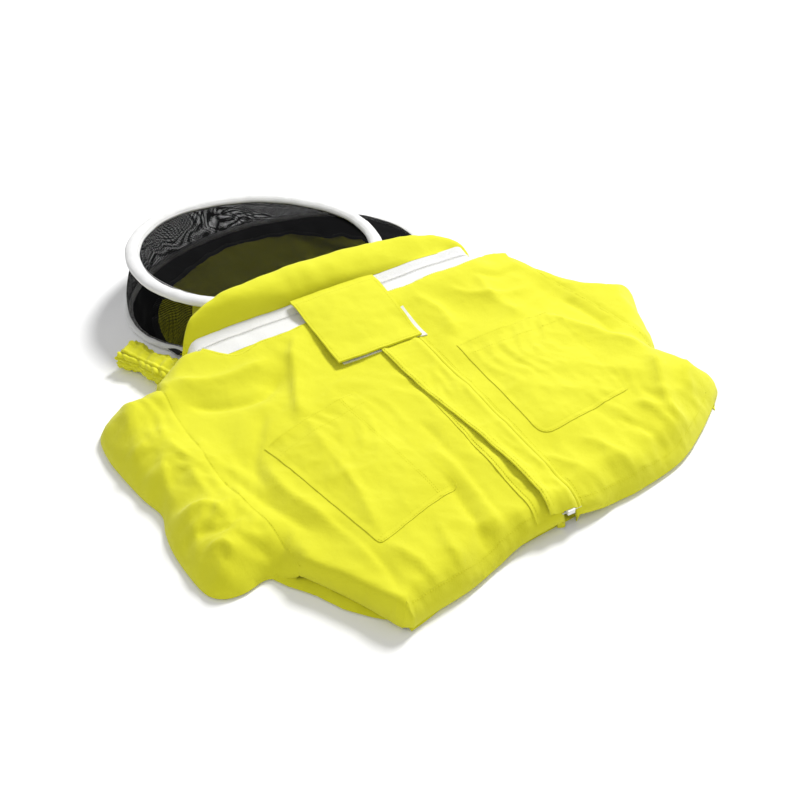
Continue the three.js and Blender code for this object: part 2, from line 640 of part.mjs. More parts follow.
function hoodBackOutline() {
  return leftOf(hoopPath(), HOOP_BINDING.width / 2 + 0.4, false);
}

function addHood() {
  const path = hoopPath();
  const middle = HOOP_BINDING.height / 2;
  node('rear_hoop_binding', sweep(path, bindingSection(HOOP_BINDING, middle), false), whiteTape());
  const wire = polygon(HOOP_WIRE_R, 6).map(([n, z]) => [n, z + middle]);
  node('rear_hoop_wire', sweep(path, wire, false), steel());

  node('hood_back', prism(asPoints(hoodBackOutline()), 0, HOOD_BACK_THICK), yellowCloth());

  const tilt = THREE.MathUtils.degToRad(RING.tilt);
  const top = ringPath(RING.halfX, RING.halfY, HOOP.from, HOOP.to, HOOP_STEPS, false);
  const lowZ = HOOP_BINDING.height + GAP;
  const half = SIDE_MESH_THICK / 2;
  const drop = RING_BINDING.height / 2 + 0.7;
  const low = [leftOf(path, -half, false), leftOf(path, half, false)];
  const high = [leftOf(top, -half, false), leftOf(top, half, false)];
  const atRing = (p) => new THREE.Vector3(
    RING.x + p.x * Math.cos(tilt), RING.y + p.y, RING.z - p.x * Math.sin(tilt) - drop);
  const atFloor = (p) => new THREE.Vector3(p.x, p.y, lowZ);
  const rings = path.map((_, i) => [
    atFloor(low[0][i]), atRing(high[0][i]), atRing(high[1][i]), atFloor(low[1][i]),
  ]);
  const contour = [[0, 0], [0, 1], [1, 1], [1, 0]].map(([a, b]) => new THREE.Vector2(a, b));
  node('side_mesh', loft(rings, contour, false), blackNet());

  const arc = new THREE.EllipseCurve(
    HOOD_SEAM.x, HOOD_SEAM.y, HOOD_SEAM.halfX, HOOD_SEAM.halfY, Math.PI / 18, Math.PI * 17 / 18);
  const tapeLow = HOOD_BACK_THICK + GAP;
  const tape = rectangle([-HOOD_SEAM.width / 2, HOOD_SEAM.width / 2], [tapeLow, tapeLow + HOOD_SEAM.thick]);
  node('hood_seam_tape', sweep(arc.getPoints(28), tape, false), blackNet());
}

addBackPanel();
addFrontRight();
addFrontLeft();
addSleeves();
addCuff('right', -240, 197.7, THREE.MathUtils.degToRad(3));
addCuff('left', 163.6, -5, Math.PI / 2);
addHem('right', hemRight, FRONT_LOW, HEM_FRONT_THICK);
addHem('left', hemLeft, FRONT_LOW, HEM_FRONT_THICK);
addHem('back', hemBack, 0, HEM_BACK_THICK);
addPockets();
addFrontZip();
addCollar();
addNeckband();
addNeckFlap();
addVeilRing();
addHood();

export default model;
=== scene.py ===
"""A beekeeping jacket with its zip-on veil hood, lying front side up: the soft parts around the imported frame."""
import math

import bpy
import numpy as np
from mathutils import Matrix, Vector, geometry


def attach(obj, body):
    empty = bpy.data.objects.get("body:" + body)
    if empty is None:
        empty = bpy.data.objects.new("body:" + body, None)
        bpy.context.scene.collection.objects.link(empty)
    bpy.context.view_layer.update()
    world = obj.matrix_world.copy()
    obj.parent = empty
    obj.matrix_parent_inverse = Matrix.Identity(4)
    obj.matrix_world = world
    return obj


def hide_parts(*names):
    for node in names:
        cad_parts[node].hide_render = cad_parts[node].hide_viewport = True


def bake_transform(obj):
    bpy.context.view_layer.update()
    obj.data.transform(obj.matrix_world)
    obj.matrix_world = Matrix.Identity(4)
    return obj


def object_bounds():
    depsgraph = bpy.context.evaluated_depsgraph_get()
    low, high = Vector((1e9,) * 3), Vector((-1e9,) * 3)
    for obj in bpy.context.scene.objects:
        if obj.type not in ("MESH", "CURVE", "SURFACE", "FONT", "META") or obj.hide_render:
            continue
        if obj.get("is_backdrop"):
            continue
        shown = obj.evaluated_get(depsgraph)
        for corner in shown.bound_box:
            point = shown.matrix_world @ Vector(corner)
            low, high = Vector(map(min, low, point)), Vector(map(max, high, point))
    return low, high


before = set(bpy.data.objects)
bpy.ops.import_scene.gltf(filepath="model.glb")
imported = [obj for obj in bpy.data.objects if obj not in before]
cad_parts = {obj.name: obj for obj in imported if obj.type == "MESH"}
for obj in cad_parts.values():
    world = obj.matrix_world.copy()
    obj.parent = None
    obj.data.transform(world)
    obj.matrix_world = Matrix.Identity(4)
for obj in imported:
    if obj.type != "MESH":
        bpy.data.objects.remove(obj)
CAD_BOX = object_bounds()
MM = 0.001
SHARP_FOLD = math.radians(58)  # edges that turn more than this are shaded as edges
FLOOR_LEVEL = 1.3  # the lowest that a turned edge may go, mm

# ---- camera, light and floor ---------------------------------------------------------------------
AZIMUTH, ELEVATION, DISTANCE = math.radians(-32), math.radians(39), 1.6
LENS, SENSOR = 60, 36
WORLD_STRENGTH = 0.50


def add_camera():
    data = bpy.data.cameras.new("camera")
    data.lens = LENS
    data.sensor_width = SENSOR
    camera = bpy.data.objects.new("camera", data)
    bpy.context.scene.collection.objects.link(camera)
    out = Vector((math.sin(AZIMUTH) * math.cos(ELEVATION), -math.cos(AZIMUTH) * math.cos(ELEVATION),
                  math.sin(ELEVATION)))
    camera.location = out * DISTANCE
    camera.rotation_euler = (-out).to_track_quat("-Z", "Y").to_euler()
    bpy.context.scene.camera = camera


def add_light(name, place, size, power):
    data = bpy.data.lights.new(name, "AREA")
    data.shape = "DISK"
    data.size = size
    data.energy = power
    light = bpy.data.objects.new(name, data)
    bpy.context.scene.collection.objects.link(light)
    light.location = place
    light.rotation_euler = (Vector((0, 0, 0)) - Vector(place)).to_track_quat("-Z", "Y").to_euler()


add_camera()
add_light("key", (2.3, 1.3, 2.6), 1.0, 152)
add_light("side", (-1.4, -1.6, 2.2), 1.6, 14)
world = bpy.data.worlds.new("studio")
bpy.context.scene.world = world
world.use_nodes = True
world.node_tree.nodes["Background"].inputs["Color"].default_value = (1, 1, 1, 1)
world.node_tree.nodes["Background"].inputs["Strength"].default_value = WORLD_STRENGTH
bpy.context.scene.view_settings.view_transform = "Standard"


# ---- materials -----------------------------------------------------------------------------------
class Graph:
    """A small helper for one material's nodes."""

    def __init__(self, name):
        self.material = bpy.data.materials.new(name)
        self.material.use_nodes = True
        self.tree = self.material.node_tree
        self.shader = self.tree.nodes["Principled BSDF"]

    def add(self, kind, **values):
        node = self.tree.nodes.new(kind)
        for key, value in values.items():
            if key.startswith("_"):
                setattr(node, key[1:], value)
            else:
                node.inputs[key.replace("_", " ")].default_value = value
        return node

    def link(self, a, b):
        self.tree.links.new(a, b)

    def math(self, operation, a, b=None):
        node = self.add("ShaderNodeMath", _operation=operation)
        for socket, value in zip(node.inputs, (a, b)):
            if value is None:
                continue
            if isinstance(value, (int, float)):
                socket.default_value = value
            else:
                self.link(value, socket)
        return node.outputs[0]

    def coords(self, kind="Object", scale=(1, 1, 1), turn=0.0):
        source = self.add("ShaderNodeTexCoord")
        mapping = self.add("ShaderNodeMapping", Scale=scale, Rotation=(0, 0, turn))
        self.link(source.outputs[kind], mapping.inputs["Vector"])
        return mapping.outputs[0]

    def colour(self, factor, stops):
        ramp = self.add("ShaderNodeValToRGB")
        self.link(factor, ramp.inputs["Fac"])
        elements = ramp.color_ramp.elements
        while len(elements) < len(stops):
            elements.new(0.5)
        for element, (place, colour) in zip(elements, stops):
            element.position = place
            element.color = (*colour, 1)
        return ramp.outputs["Color"]

    def noise(self, vector, scale, detail=2.0):
        node = self.add("ShaderNodeTexNoise", Scale=scale, Detail=detail)
        self.link(vector, node.inputs["Vector"])
        return node.outputs["Fac"]

    def wave(self, vector, scale, distortion=0.0, direction="X"):
        node = self.add("ShaderNodeTexWave", Scale=scale, Distortion=distortion, _bands_direction=direction)
        self.link(vector, node.inputs["Vector"])
        return node.outputs["Fac"]

    def bump(self, height, distance, strength, under=None):
        node = self.add("ShaderNodeBump", Distance=distance, Strength=strength)
        self.link(height, node.inputs["Height"])
        if under is not None:
            self.link(under, node.inputs["Normal"])
        return node.outputs["Normal"]


def woven(name, colours, thread, relief, roughness=0.88, sheen=0.12, twill=0.0):
    """Cloth: two crossing sets of threads, cloudy dye, and small creases."""
    g = Graph(name)
    flat = g.coords()
    tilted = g.coords(turn=math.radians(twill))
    warp = g.wave(tilted, 0.314 / thread, 0.6, "X")
    weft = g.wave(tilted, 0.314 / thread, 0.6, "Y")
    weave = g.math("ADD", g.math("MULTIPLY", warp, 0.65), g.math("MULTIPLY", weft, 0.35))
    cloud = g.noise(flat, 9.0, 4.0)
    fuzz = g.noise(flat, 900.0, 2.0)
    mixed = g.math("ADD", g.math("MULTIPLY", cloud, 0.62), g.math("MULTIPLY", weave, 0.2))
    mixed = g.math("ADD", mixed, g.math("MULTIPLY", fuzz, 0.18))
    g.link(g.colour(mixed, colours), g.shader.inputs["Base Color"])
    crease = g.bump(g.noise(flat, 48.0, 6.0), 0.0024, 0.5)
    fine = g.bump(weave, relief, 0.5, crease)
    g.link(g.bump(fuzz, 0.0001, 0.4, fine), g.shader.inputs["Normal"])
    g.shader.inputs["Roughness"].default_value = roughness
    g.shader.inputs["Specular IOR Level"].default_value = 0.25
    g.shader.inputs["Sheen Weight"].default_value = sheen
    return g.material


def net(name, pitch, width):
    """Open mesh: threads on a square grid, clear between them."""
    g = Graph(name)
    source = g.add("ShaderNodeTexCoord")
    split = g.add("ShaderNodeSeparateXYZ")
    g.link(source.outputs["UV"], split.inputs[0])
    lines = []
    for out in (split.outputs[0], split.outputs[1]):
        place = g.math("FRACT", g.math("DIVIDE", out, pitch))
        lines.append(g.math("LESS_THAN", place, width))
    g.link(g.math("MAXIMUM", lines[0], lines[1]), g.shader.inputs["Alpha"])
    spots = g.noise(source.outputs["UV"], 1400.0, 1.0)
    g.link(g.colour(spots, [(0.3, (0.001, 0.001, 0.0012)), (0.8, (0.004, 0.004, 0.0045))]),
           g.shader.inputs["Base Color"])
    g.link(g.bump(spots, 0.0002, 0.4), g.shader.inputs["Normal"])
    g.shader.inputs["Roughness"].default_value = 0.7
    g.shader.inputs["Specular IOR Level"].default_value = 0.03
    return g.material


def hard(name, dark, light, roughness, metallic, scale=300.0):
    """Moulded or painted surface with faint marks."""
    g = Graph(name)
    marks = g.noise(g.coords(), scale, 3.0)
    g.link(g.colour(marks, [(0.3, dark), (0.7, light)]), g.shader.inputs["Base Color"])
    g.link(g.bump(marks, 0.00008, 0.3), g.shader.inputs["Normal"])
    g.shader.inputs["Roughness"].default_value = roughness
    g.shader.inputs["Metallic"].default_value = metallic
    return g.material


YELLOW = woven("yellow_cotton", [(0.2, (0.61, 0.59, 0.010)), (0.5, (0.69, 0.68, 0.020)),
                                 (0.85, (0.74, 0.735, 0.032))], 0.0007, 0.00025, twill=28)
YELLOW_THREAD = woven("yellow_thread", [(0.3, (0.62, 0.60, 0.006)), (0.8, (0.74, 0.73, 0.012))], 0.0004, 0.0001)
WHITE = woven("white_tape", [(0.25, (0.70, 0.70, 0.69)), (0.6, (0.77, 0.77, 0.765)), (0.9, (0.82, 0.82, 0.815))],
              0.0006, 0.00025, sheen=0.1)
WHITE_THREAD = woven("white_thread", [(0.3, (0.7, 0.7, 0.69)), (0.8, (0.88, 0.88, 0.87))], 0.0004, 0.0001)
BLACK_TAPE = woven("black_tape", [(0.3, (0.006, 0.006, 0.007)), (0.8, (0.02, 0.02, 0.023))], 0.0006, 0.0002)
NET = net("black_net", 0.0017, 0.55)
PLASTIC = hard("white_plastic", (0.82, 0.82, 0.80), (0.9, 0.9, 0.88), 0.4, 0.0)
METAL = hard("white_metal", (0.74, 0.74, 0.73), (0.86, 0.86, 0.85), 0.3, 0.35)
STEEL = hard("hoop_steel", (0.42, 0.43, 0.45), (0.58, 0.59, 0.6), 0.3, 0.95)
FLOOR = hard("paper_floor", (0.90, 0.90, 0.90), (0.93, 0.93, 0.93), 0.9, 0.0, 4.0)


# ---- plane geometry ------------------------------------------------------------------------------
def spline(points, steps=8, closed=False):
    """A smooth curve through the points, which may carry any number of values each."""
    p = np.array(points, float)
    n = len(p)
    out = []
    spans = n if closed else n - 1
    for i in range(spans):
        if closed:
            a, b, c, d = (p[(i + k) % n] for k in (-1, 0, 1, 2))
        else:
            a, b, c, d = p[max(i - 1, 0)], p[i], p[i + 1], p[min(i + 2, n - 1)]
        for k in range(steps):
            t = k / steps
            out.append(0.5 * (2 * b + (c - a) * t + (2 * a - 5 * b + 4 * c - d) * t * t
                              + (3 * b - a - 3 * c + d) * t ** 3))
    if not closed:
        out.append(p[-1])
    return np.array(out)


def resample(path, step):
    """The path with its points evenly spaced."""
    path = np.array(path, float)
    lengths = np.r_[0, np.cumsum(np.linalg.norm(np.diff(path[:, :2], axis=0), axis=1))]
    count = max(2, int(round(lengths[-1] / step)) + 1)
    at = np.linspace(0, lengths[-1], count)
    return np.stack([np.interp(at, lengths, path[:, k]) for k in range(path.shape[1])], 1)


def nearest(points, path):
    """Each point's distance to the path, its side, its place along it, and the path's other values there."""
    path = np.array(path, float)
    best = np.full(len(points), 1e9)
    side = np.ones(len(points))
    along = np.zeros(len(points))
    values = np.zeros((len(points), path.shape[1] - 2))
    start = 0.0
    for a, b in zip(path[:-1], path[1:]):
        d = b[:2] - a[:2]
        length = np.hypot(*d)
        if length < 1e-9:
            continue
        rel = points - a[:2]
        t = np.clip(rel @ d / length ** 2, 0, 1)
        off = rel - t[:, None] * d
        dist = np.hypot(off[:, 0], off[:, 1])
        hit = dist < best
        best[hit] = dist[hit]
        side[hit] = np.sign(d[0] * rel[hit, 1] - d[1] * rel[hit, 0])
        along[hit] = start + t[hit] * length
        if values.shape[1]:
            values[hit] = a[2:] + t[hit, None] * (b[2:] - a[2:])
        start += length
    return best, side, along / max(start, 1e-9), values


def inside(points, loop):
    """Which points lie inside the loop."""
    x, y = points[:, 0], points[:, 1]
    result = np.zeros(len(points), bool)
    for (x0, y0), (x1, y1) in zip(loop, np.roll(loop, -1, axis=0)):
        if y0 == y1:
            continue
        hit = ((y0 > y) != (y1 > y)) & (x < (x1 - x0) * (y - y0) / (y1 - y0) + x0)
        result ^= hit
    return result


TABLE = np.random.default_rng(5).uniform(0, 2 * math.pi, 4096)


def perlin(x, y, seed=0):
    """Smooth noise over the plane, from about -1 to 1."""
    xi, yi = np.floor(x).astype(int), np.floor(y).astype(int)
    xf, yf = x - xi, y - yi

    def corner(dx, dy):
        angle = TABLE[((xi + dx) * 73 + (yi + dy) * 1031 + seed * 577) % 4096]
        return np.cos(angle) * (xf - dx) + np.sin(angle) * (yf - dy)

    u = xf * xf * xf * (xf * (xf * 6 - 15) + 10)
    v = yf * yf * yf * (yf * (yf * 6 - 15) + 10)
    low = corner(0, 0) * (1 - u) + corner(1, 0) * u
    high = corner(0, 1) * (1 - u) + corner(1, 1) * u
    return (low * (1 - v) + high * v) * 1.4


def step_between(value, low, high):
    """0 below low, 1 above high, and smooth between them."""
    t = np.clip((value - low) / (high - low), 0, 1)
    return t * t * (3 - 2 * t)


# ---- the jacket's plan ---------------------------------------------------------------------------
ZIP_TOP = (52.4, 124.0)
ZIP_LEAN = math.radians(1.757)
ZIP_LENGTH = 405.0
HALF_GROOVE = 7.0
TAPE_HEIGHT = 21.6  # upper side of the front zip's tapes, mm
THREAD_HEIGHT = 21.9  # the stitches and teeth on them
HEM_WIDTH = 12.0


def zip_x(y):
    """The front zip's x at a given y."""
    return ZIP_TOP[0] + (y - ZIP_TOP[1]) * math.tan(ZIP_LEAN)


def on_zip(across, along):
    """A point beside the front zip, from its upper end."""
    c, s = math.cos(ZIP_LEAN), math.sin(ZIP_LEAN)
    return ZIP_TOP[0] + across * c + along * s, ZIP_TOP[1] - across * s + along * c


HEM_Y = ZIP_TOP[1] - ZIP_LENGTH
HEM_RIGHT = spline([(-181, -316), (-159, -311), (-106, -304), (-60, -291), (-21, -282),
                    (zip_x(HEM_Y) - HALF_GROOVE, HEM_Y)], 8)
HEM_LEFT = spline([(zip_x(HEM_Y) + HALF_GROOVE, HEM_Y), (79, -283), (108, -280), (139, -279), (207, -267), (262, -240),
                   (312, -208)], 8)
HEM_BACK = spline([(-184, -316), (-148, -308), (-60, -282), (60, -272), (190, -262), (252, -234), (306, -204)], 8)
ARMHOLE_RIGHT = spline([(-251, 152), (-254, 101), (-257, 60), (-257, 8), (-259, -28), (-253, -92), (-247, -140),
                        (-246, -200)], 6)
ARMHOLE_LEFT = spline([(311, -98), (298, -60), (285, 20), (275, 90), (263, 164)], 8)
SIDE_RIGHT = spline([(-246, -200), (-229, -230), (-212, -264), (-200, -292), (-192, -309), (-181, -316)], 6)
SIDE_LEFT = spline([(312, -208), (329, -195), (337, -180), (337, -163), (331, -140), (318, -112), (311, -98)], 6)
SHOULDER_RIGHT = spline([(-178, 164), (-202, 172), (-228, 163), (-251, 152)], 5)
SHOULDER_LEFT = spline([(263, 164), (247, 168), (232, 166), (222, 158)], 5)
NECK_RIGHT_EDGE = spline([(zip_x(141) - HALF_GROOVE, 141), (-10, 142), (-52, 141), (-84, 136), (-116, 138), (-138, 131),
                          (-152, 132), (-164, 144), (-178, 164)], 5)
NECK_LEFT_EDGE = spline([(222, 158), (206, 154), (178, 150), (139, 150), (104, 146), (72, 147),
                         (zip_x(141) + HALF_GROOVE, 144)], 5)
SLEEVE_RIGHT = spline([(-251, 152), (-272, 150), (-297, 145), (-320, 134), (-335, 115), (-340, 78),
                       (-338, 41), (-333, -2),
                       (-326, -36), (-334, -64), (-339, -95), (-339, -134), (-335, -165), (-322, -180), (-300, -184),
                       (-273, -179), (-258, -190), (-246, -200)], 5)
SLEEVE_LEFT = spline([(311, -98), (322, -88), (333, -68), (350, -26), (371, 14), (366, 28), (340, 50), (315, 76),
                      (296, 112), (276, 156), (263, 164)], 5)


def edge_of(path, low, roll, slope):
    """An outline stretch with its edge height, the width over which it falls, and how far that fall is a
    plain slope instead of a round roll."""
    count = len(path)
    return np.c_[path, np.linspace(*low, count), np.linspace(*roll, count), np.linspace(*slope, count)]


OUTLINE = np.vstack([
    edge_of(HEM_RIGHT[:24], (6, 5), (20, 38), (0.4, 0.7)),
    edge_of(HEM_RIGHT[24:], (5, 15), (38, 24), (0.7, 0.4)),
    edge_of(HEM_LEFT[:16], (15, 5), (24, 38), (0.4, 0.7)),
    edge_of(HEM_LEFT[16:], (5, 4), (38, 42), (0.7, 0.75)),
    edge_of(SIDE_LEFT, (4, 4), (42, 34), (0.7, 0.6)),
    edge_of(SLEEVE_LEFT, (4, 4), (34, 34), (0.6, 0.5)),
    edge_of(SHOULDER_LEFT, (6, 36), (24, 12), (0.4, 0)),
    edge_of(NECK_LEFT_EDGE, (38, 44), (10, 5), (0, 0)),
    edge_of(NECK_RIGHT_EDGE, (44, 45), (5, 6), (0, 0)),
    edge_of(SHOULDER_RIGHT, (43, 9), (8, 28), (0, 0.4)),
    edge_of(SLEEVE_RIGHT[:-8], (5, 3), (44, 52), (0.7, 0.75)),
    edge_of(SLEEVE_RIGHT[-8:], (3, 13), (48, 16), (0.7, 0.3)),
    edge_of(SIDE_RIGHT, (14, 6), (11, 14), (0.2, 0.3)),
])

# Soft bulges: centre, half widths and height.
BULGES = [
    (-120, 92, 60, 26, 3.0), (-120, -110, 60, 90, 3.0), (-60, -262, 60, 24, 2.0), (150, -80, 80, 90, 3.0),
    (262, -150, 46, 50, 6.0), (150, 80, 70, 30, 3.0), (300, 10, 40, 60, 3.0), (10, 0, 50, 80, -2.0),
    (-226, -20, 18, 80, -3.0), (262, 50, 22, 60, -4.0), (-215, -190, 30, 40, -3.0),
]
# Folds: path, height, width on its left and on its right.
FOLDS = [
    ([(-64, 134), (-88, 104), (-106, 67), (-132, 10), (-139, -15)], 8.0, 16, 6),
    ([(-136, -8), (-141, -91), (-146, -155), (-160, -214)], 4.5, 10, 12),
    ([(-240, 135), (-205, 106), (-153, 97), (-112, 106)], 6.5, 12, 12),
    ([(-240, 90), (-215, 68), (-181, 54), (-151, 54), (-112, 82)], -5.5, 9, 8),
    ([(-252, -20), (-240, -77), (-226, -132), (-209, -182)], -5.0, 9, 10),
    ([(-208, -40), (-209, -101), (-196, -155), (-183, -212), (-180, -262)], 6.0, 11, 8),
    ([(-192, -150), (-178, -226), (-176, -264), (-184, -300)], -4.5, 7, 7),
    ([(-158, -226), (-150, -252), (-143, -276), (-142, -306)], 4.5, 7, 7),
    ([(-96, -222), (-104, -262), (-112, -304)], 3.5, 9, 7),
    ([(-50, -170), (-56, -215), (-64, -252), (-74, -292)], -6.5, 9, 11),
    ([(-40, -120), (-34, -180), (-40, -240), (-52, -290)], 4.5, 8, 10),
    ([(-160, 36), (-192, -10), (-216, -47), (-226, -90)], -4.0, 8, 10),
    ([(-22, -60), (-24, -140), (-30, -215), (-36, -280)], -3.0, 7, 7),
    ([(196, 128), (184, 70), (200, 18)], 5.0, 12, 12),
    ([(214, 16), (254, -54), (286, -118)], 7.0, 8, 14),
    ([(286, -118), (262, -158), (238, -198), (226, -250)], 7.0, 12, 8),
    ([(262, 40), (272, -30), (268, -78)], -4.5, 9, 8),
    ([(316, -150), (290, -176), (270, -226)], 5.0, 8, 8),
    ([(60, -200), (82, -238), (92, -276)], 4.0, 8, 10),
    ([(112, -196), (128, -230), (140, -274)], 4.5, 8, 9),
    ([(170, -190), (184, -226), (190, -266)], -4.0, 8, 8),
    ([(212, -176), (216, -216), (218, -258)], 5.5, 7, 9),
    ([(92, 126), (112, 84), (104, 30)], 4.5, 8, 14),
    ([(136, 128), (160, 92), (206, 70), (256, 74)], 4.5, 9, 11),
    ([(180, 128), (216, 108), (258, 112)], -3.5, 8, 8),
    ([(-293, 144), (-312, 73), (-324, 24)], 6.0, 16, 7),
    ([(-296, 24), (-309, -17), (-322, -54)], 7.0, 6, 14),
    ([(-326, -66), (-300, -72), (-284, -82), (-280, -106)], 7.5, 6, 10),
    ([(-308, -84), (-322, -121), (-334, -150)], 6.0, 8, 7),
    ([(-321, -128), (-298, -139), (-284, -160), (-254, -177)], 7.0, 7, 8),
    ([(-293, -140), (-303, -162), (-320, -180)], 4.5, 6, 6),
    ([(-283, 80), (-279, 23), (-278, -18), (-286, -56)], 4.0, 10, 8),
    ([(-268, -150), (-262, -176), (-256, -196)], -6.0, 6, 6),
    ([(-320, -20), (-332, -36), (-340, -40)], -5.0, 8, 8),
    ([(-316, -100), (-300, -112), (-276, -120)], -5.0, 7, 7),
]
SEAMS = [ARMHOLE_RIGHT, ARMHOLE_LEFT]
FOLD_PATHS = [(spline(path, 5), height, left, right) for path, height, left, right in FOLDS]


def hem_ripple(points, hem, seed):
    """Gathers that run in from an elastic edge: short ones die out first."""
    dist, _, along, _ = nearest(points, hem)
    s = along * np.linalg.norm(np.diff(hem[:, :2], axis=0), axis=1).sum()
    draw = np.random.default_rng(seed)
    total = np.zeros(len(points))
    for wave, size in ((11, 0.75), (17, 1.25), (26, 1.7), (43, 1.9), (70, 1.6)):
        phase = draw.uniform(0, 6.28)
        bend = 2.2 * perlin(s / (wave * 2.3), dist / 60 + 7, seed + wave)
        ridge = 1 - np.abs(np.sin(math.pi * s / wave + phase + bend)) ** 0.8 - 0.4
        total += size * ridge * np.exp(-(dist / (wave * 1.5)) ** 1.2)
    return total


def neck_rise(x, y):
    """How the flattened neck waves above its plain shape, on its upper side."""
    return (1.4 * perlin(x / 60, y / 60, 61) + 0.7 * perlin(x / 25, y / 25, 62)
            + 3.5 * np.exp(-((x - 120) / 90) ** 2) - 3.0 * step_between(-x, 130, 195)
            + 5.0 * step_between(y, 166, 186))


def cloth_top(points):
    """Height of the jacket's upper surface, in millimetres."""
    points = np.array(points, float).reshape(-1, 2)
    x, y = points.T
    z = np.full(len(points), 35.5)
    z += 7.0 * step_between(y, 70, 122)
    for cx, cy, rx, ry, h in BULGES:
        z += h * np.exp(-((x - cx) / rx) ** 2 - ((y - cy) / ry) ** 2)
    for path, height, left, right in FOLD_PATHS:
        d, side, along, _ = nearest(points, path)
        taper = step_between(along, -0.02, 0.22) * step_between(1 - along, -0.02, 0.22)
        width = np.where(side > 0, left, right)
        z += height * taper * np.exp(-np.abs(d / width) ** 1.25)
    warp_x = x + 26 * perlin(x / 95, y / 95, 3)
    warp_y = y + 26 * perlin(x / 95, y / 95, 4)
    for size, height, seed in ((88, 2.4, 5), (46, 0.9, 6), (24, 0.35, 7)):
        z += height * (0.45 - np.abs(perlin(warp_x / size, warp_y / size, seed)) * 1.7)
    patchy = step_between(perlin(x / 120, y / 120, 9), -0.35, 0.45)
    for wide, long, height, seed in ((21, 74, 1.9, 16), (13, 40, 0.9, 17)):
        z += height * patchy * (0.3 - np.abs(perlin(warp_x / wide, warp_y / long, seed)) * 1.3)
    z += 0.22 * perlin(x / 8, y / 8, 8)
    sleeve = step_between(-x, 238, 262)
    crumple = 0.45 - np.abs(perlin(warp_x / 17, warp_y / 34, 12)) * 1.7
    z += sleeve * (1.9 * crumple + 1.5 * (0.45 - np.abs(perlin(warp_x / 30, warp_y / 16, 13)) * 1.7))
    z += hem_ripple(points, HEM_RIGHT, 21) * 1.2 + hem_ripple(points, HEM_LEFT, 22) * 1.3
    for seam in SEAMS:
        d = nearest(points, seam)[0]
        z += -0.7 * np.exp(-(d / 2.2) ** 2) + 0.3 * np.exp(-((d - 5) / 3.0) ** 2)
    dist, _, _, edge = nearest(points, np.vstack([OUTLINE, OUTLINE[:1]]))
    low, roll, slope = edge.T
    wavy = roll * (1 + 0.25 * perlin(x / 31, y / 31, 15))
    u = np.clip(dist / wavy, 0, 1)
    arc = (1 - slope) * np.sqrt(np.clip(1 - (1 - u) ** 2, 0, 1)) + slope * (1 - (1 - u) ** 1.7)
    at_neck = step_between(y, 98, 134) * step_between(x, -222, -186) * step_between(-x, -235, -205)
    z = z * (1 - at_neck) + (0.35 * (z - 44) + 47.5 + neck_rise(x, y)) * at_neck
    low = low + (neck_rise(x, y) + 1.5) * step_between(low, 40, 44)
    return low + (z - low) * arc


# ---- mesh building -------------------------------------------------------------------------------
def add_mesh(name, points, faces, material, body, uv=None, nodes=(), smooth=True):
    mesh = bpy.data.meshes.new(name)
    mesh.from_pydata([tuple(p) for p in np.array(points) * MM], [], [tuple(int(i) for i in f) for f in faces])
    mesh.materials.append(material)
    if uv is not None:
        layer = mesh.uv_layers.new(name="UVMap")
        loops = np.zeros(len(mesh.loops), int)
        mesh.loops.foreach_get("vertex_index", loops)
        layer.data.foreach_set("uv", (np.array(uv) * MM)[loops].ravel())
    mesh.polygons.foreach_set("use_smooth", [smooth] * len(mesh.polygons))
    mesh.set_sharp_from_angle(angle=SHARP_FOLD)
    mesh.validate()
    mesh.update()
    piece = bpy.data.objects.new(name, mesh)
    bpy.context.scene.collection.objects.link(piece)
    if body is not None:
        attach(piece, body)
    if nodes:
        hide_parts(*nodes)
    return piece


def normals_of(points, faces):
    result = np.zeros_like(points)
    for size in (3, 4):
        part = np.array([f for f in faces if len(f) == size], int).reshape(-1, size)
        if not len(part):
            continue
        n = np.cross(points[part[:, 1]] - points[part[:, 0]], points[part[:, 2]] - points[part[:, 0]])
        if size == 4:
            n = n + np.cross(points[part[:, 2]] - points[part[:, 0]], points[part[:, 3]] - points[part[:, 0]])
        for k in range(size):
            np.add.at(result, part[:, k], n)
    return result / np.maximum(np.linalg.norm(result, axis=1, keepdims=True), 1e-9)


def thicken(points, faces, thickness):
    """Gives a sheet its cloth thickness, below its upper side, with a closed rim."""
    points = np.array(points, float)
    lower = points - normals_of(points, faces) * thickness
    count = len(points)
    edges = {}
    for f in faces:
        for a, b in zip(f, (*f[1:], f[0])):
            edges[(a, b)] = True
    rim = [(b, a, a + count, b + count) for (a, b) in edges if (b, a) not in edges]
    under = [tuple(i + count for i in reversed(f)) for f in faces]
    return np.vstack([points, lower]), list(faces) + under + rim


def length_of(path):
    """The length of a path in the plan, in mm."""
    return float(np.linalg.norm(np.diff(np.array(path, float), axis=0), axis=1).sum())


def cut_of(border, turn, turned):
    """The flat cut of a panel: its outline in the plan, and turn mm more along the turned length of its edges.

    Returns (width, length) and the area, in metres. A curved strip is cut straight, with the same outline length
    and area.
    """
    closed = np.vstack([border, border[:1]])
    around = length_of(closed)
    plain = abs(0.5 * np.sum(closed[:-1, 0] * closed[1:, 1] - closed[1:, 0] * closed[:-1, 1]))
    boxes = []
    for degrees in range(0, 90, 3):
        c, q = math.cos(math.radians(degrees)), math.sin(math.radians(degrees))
        boxes.append(tuple(np.ptp(border @ np.array([[c, -q], [q, c]]), axis=0)))
    wide, long = min(boxes, key=lambda box: box[0] * box[1])
    area = plain + turn * turned
    if area < 0.32 * (wide + 2 * turn) * (long + 2 * turn):
        long = around / 4 + math.sqrt(max(around * around / 16 - plain, 0.0))
        wide = plain / long
    return ((wide + 2 * turn) * MM, (long + 2 * turn) * MM), area * MM * MM


def declare(piece, flat, area=None):
    """Returns the piece unchanged; the cut size and area it is given are not used."""
    return piece


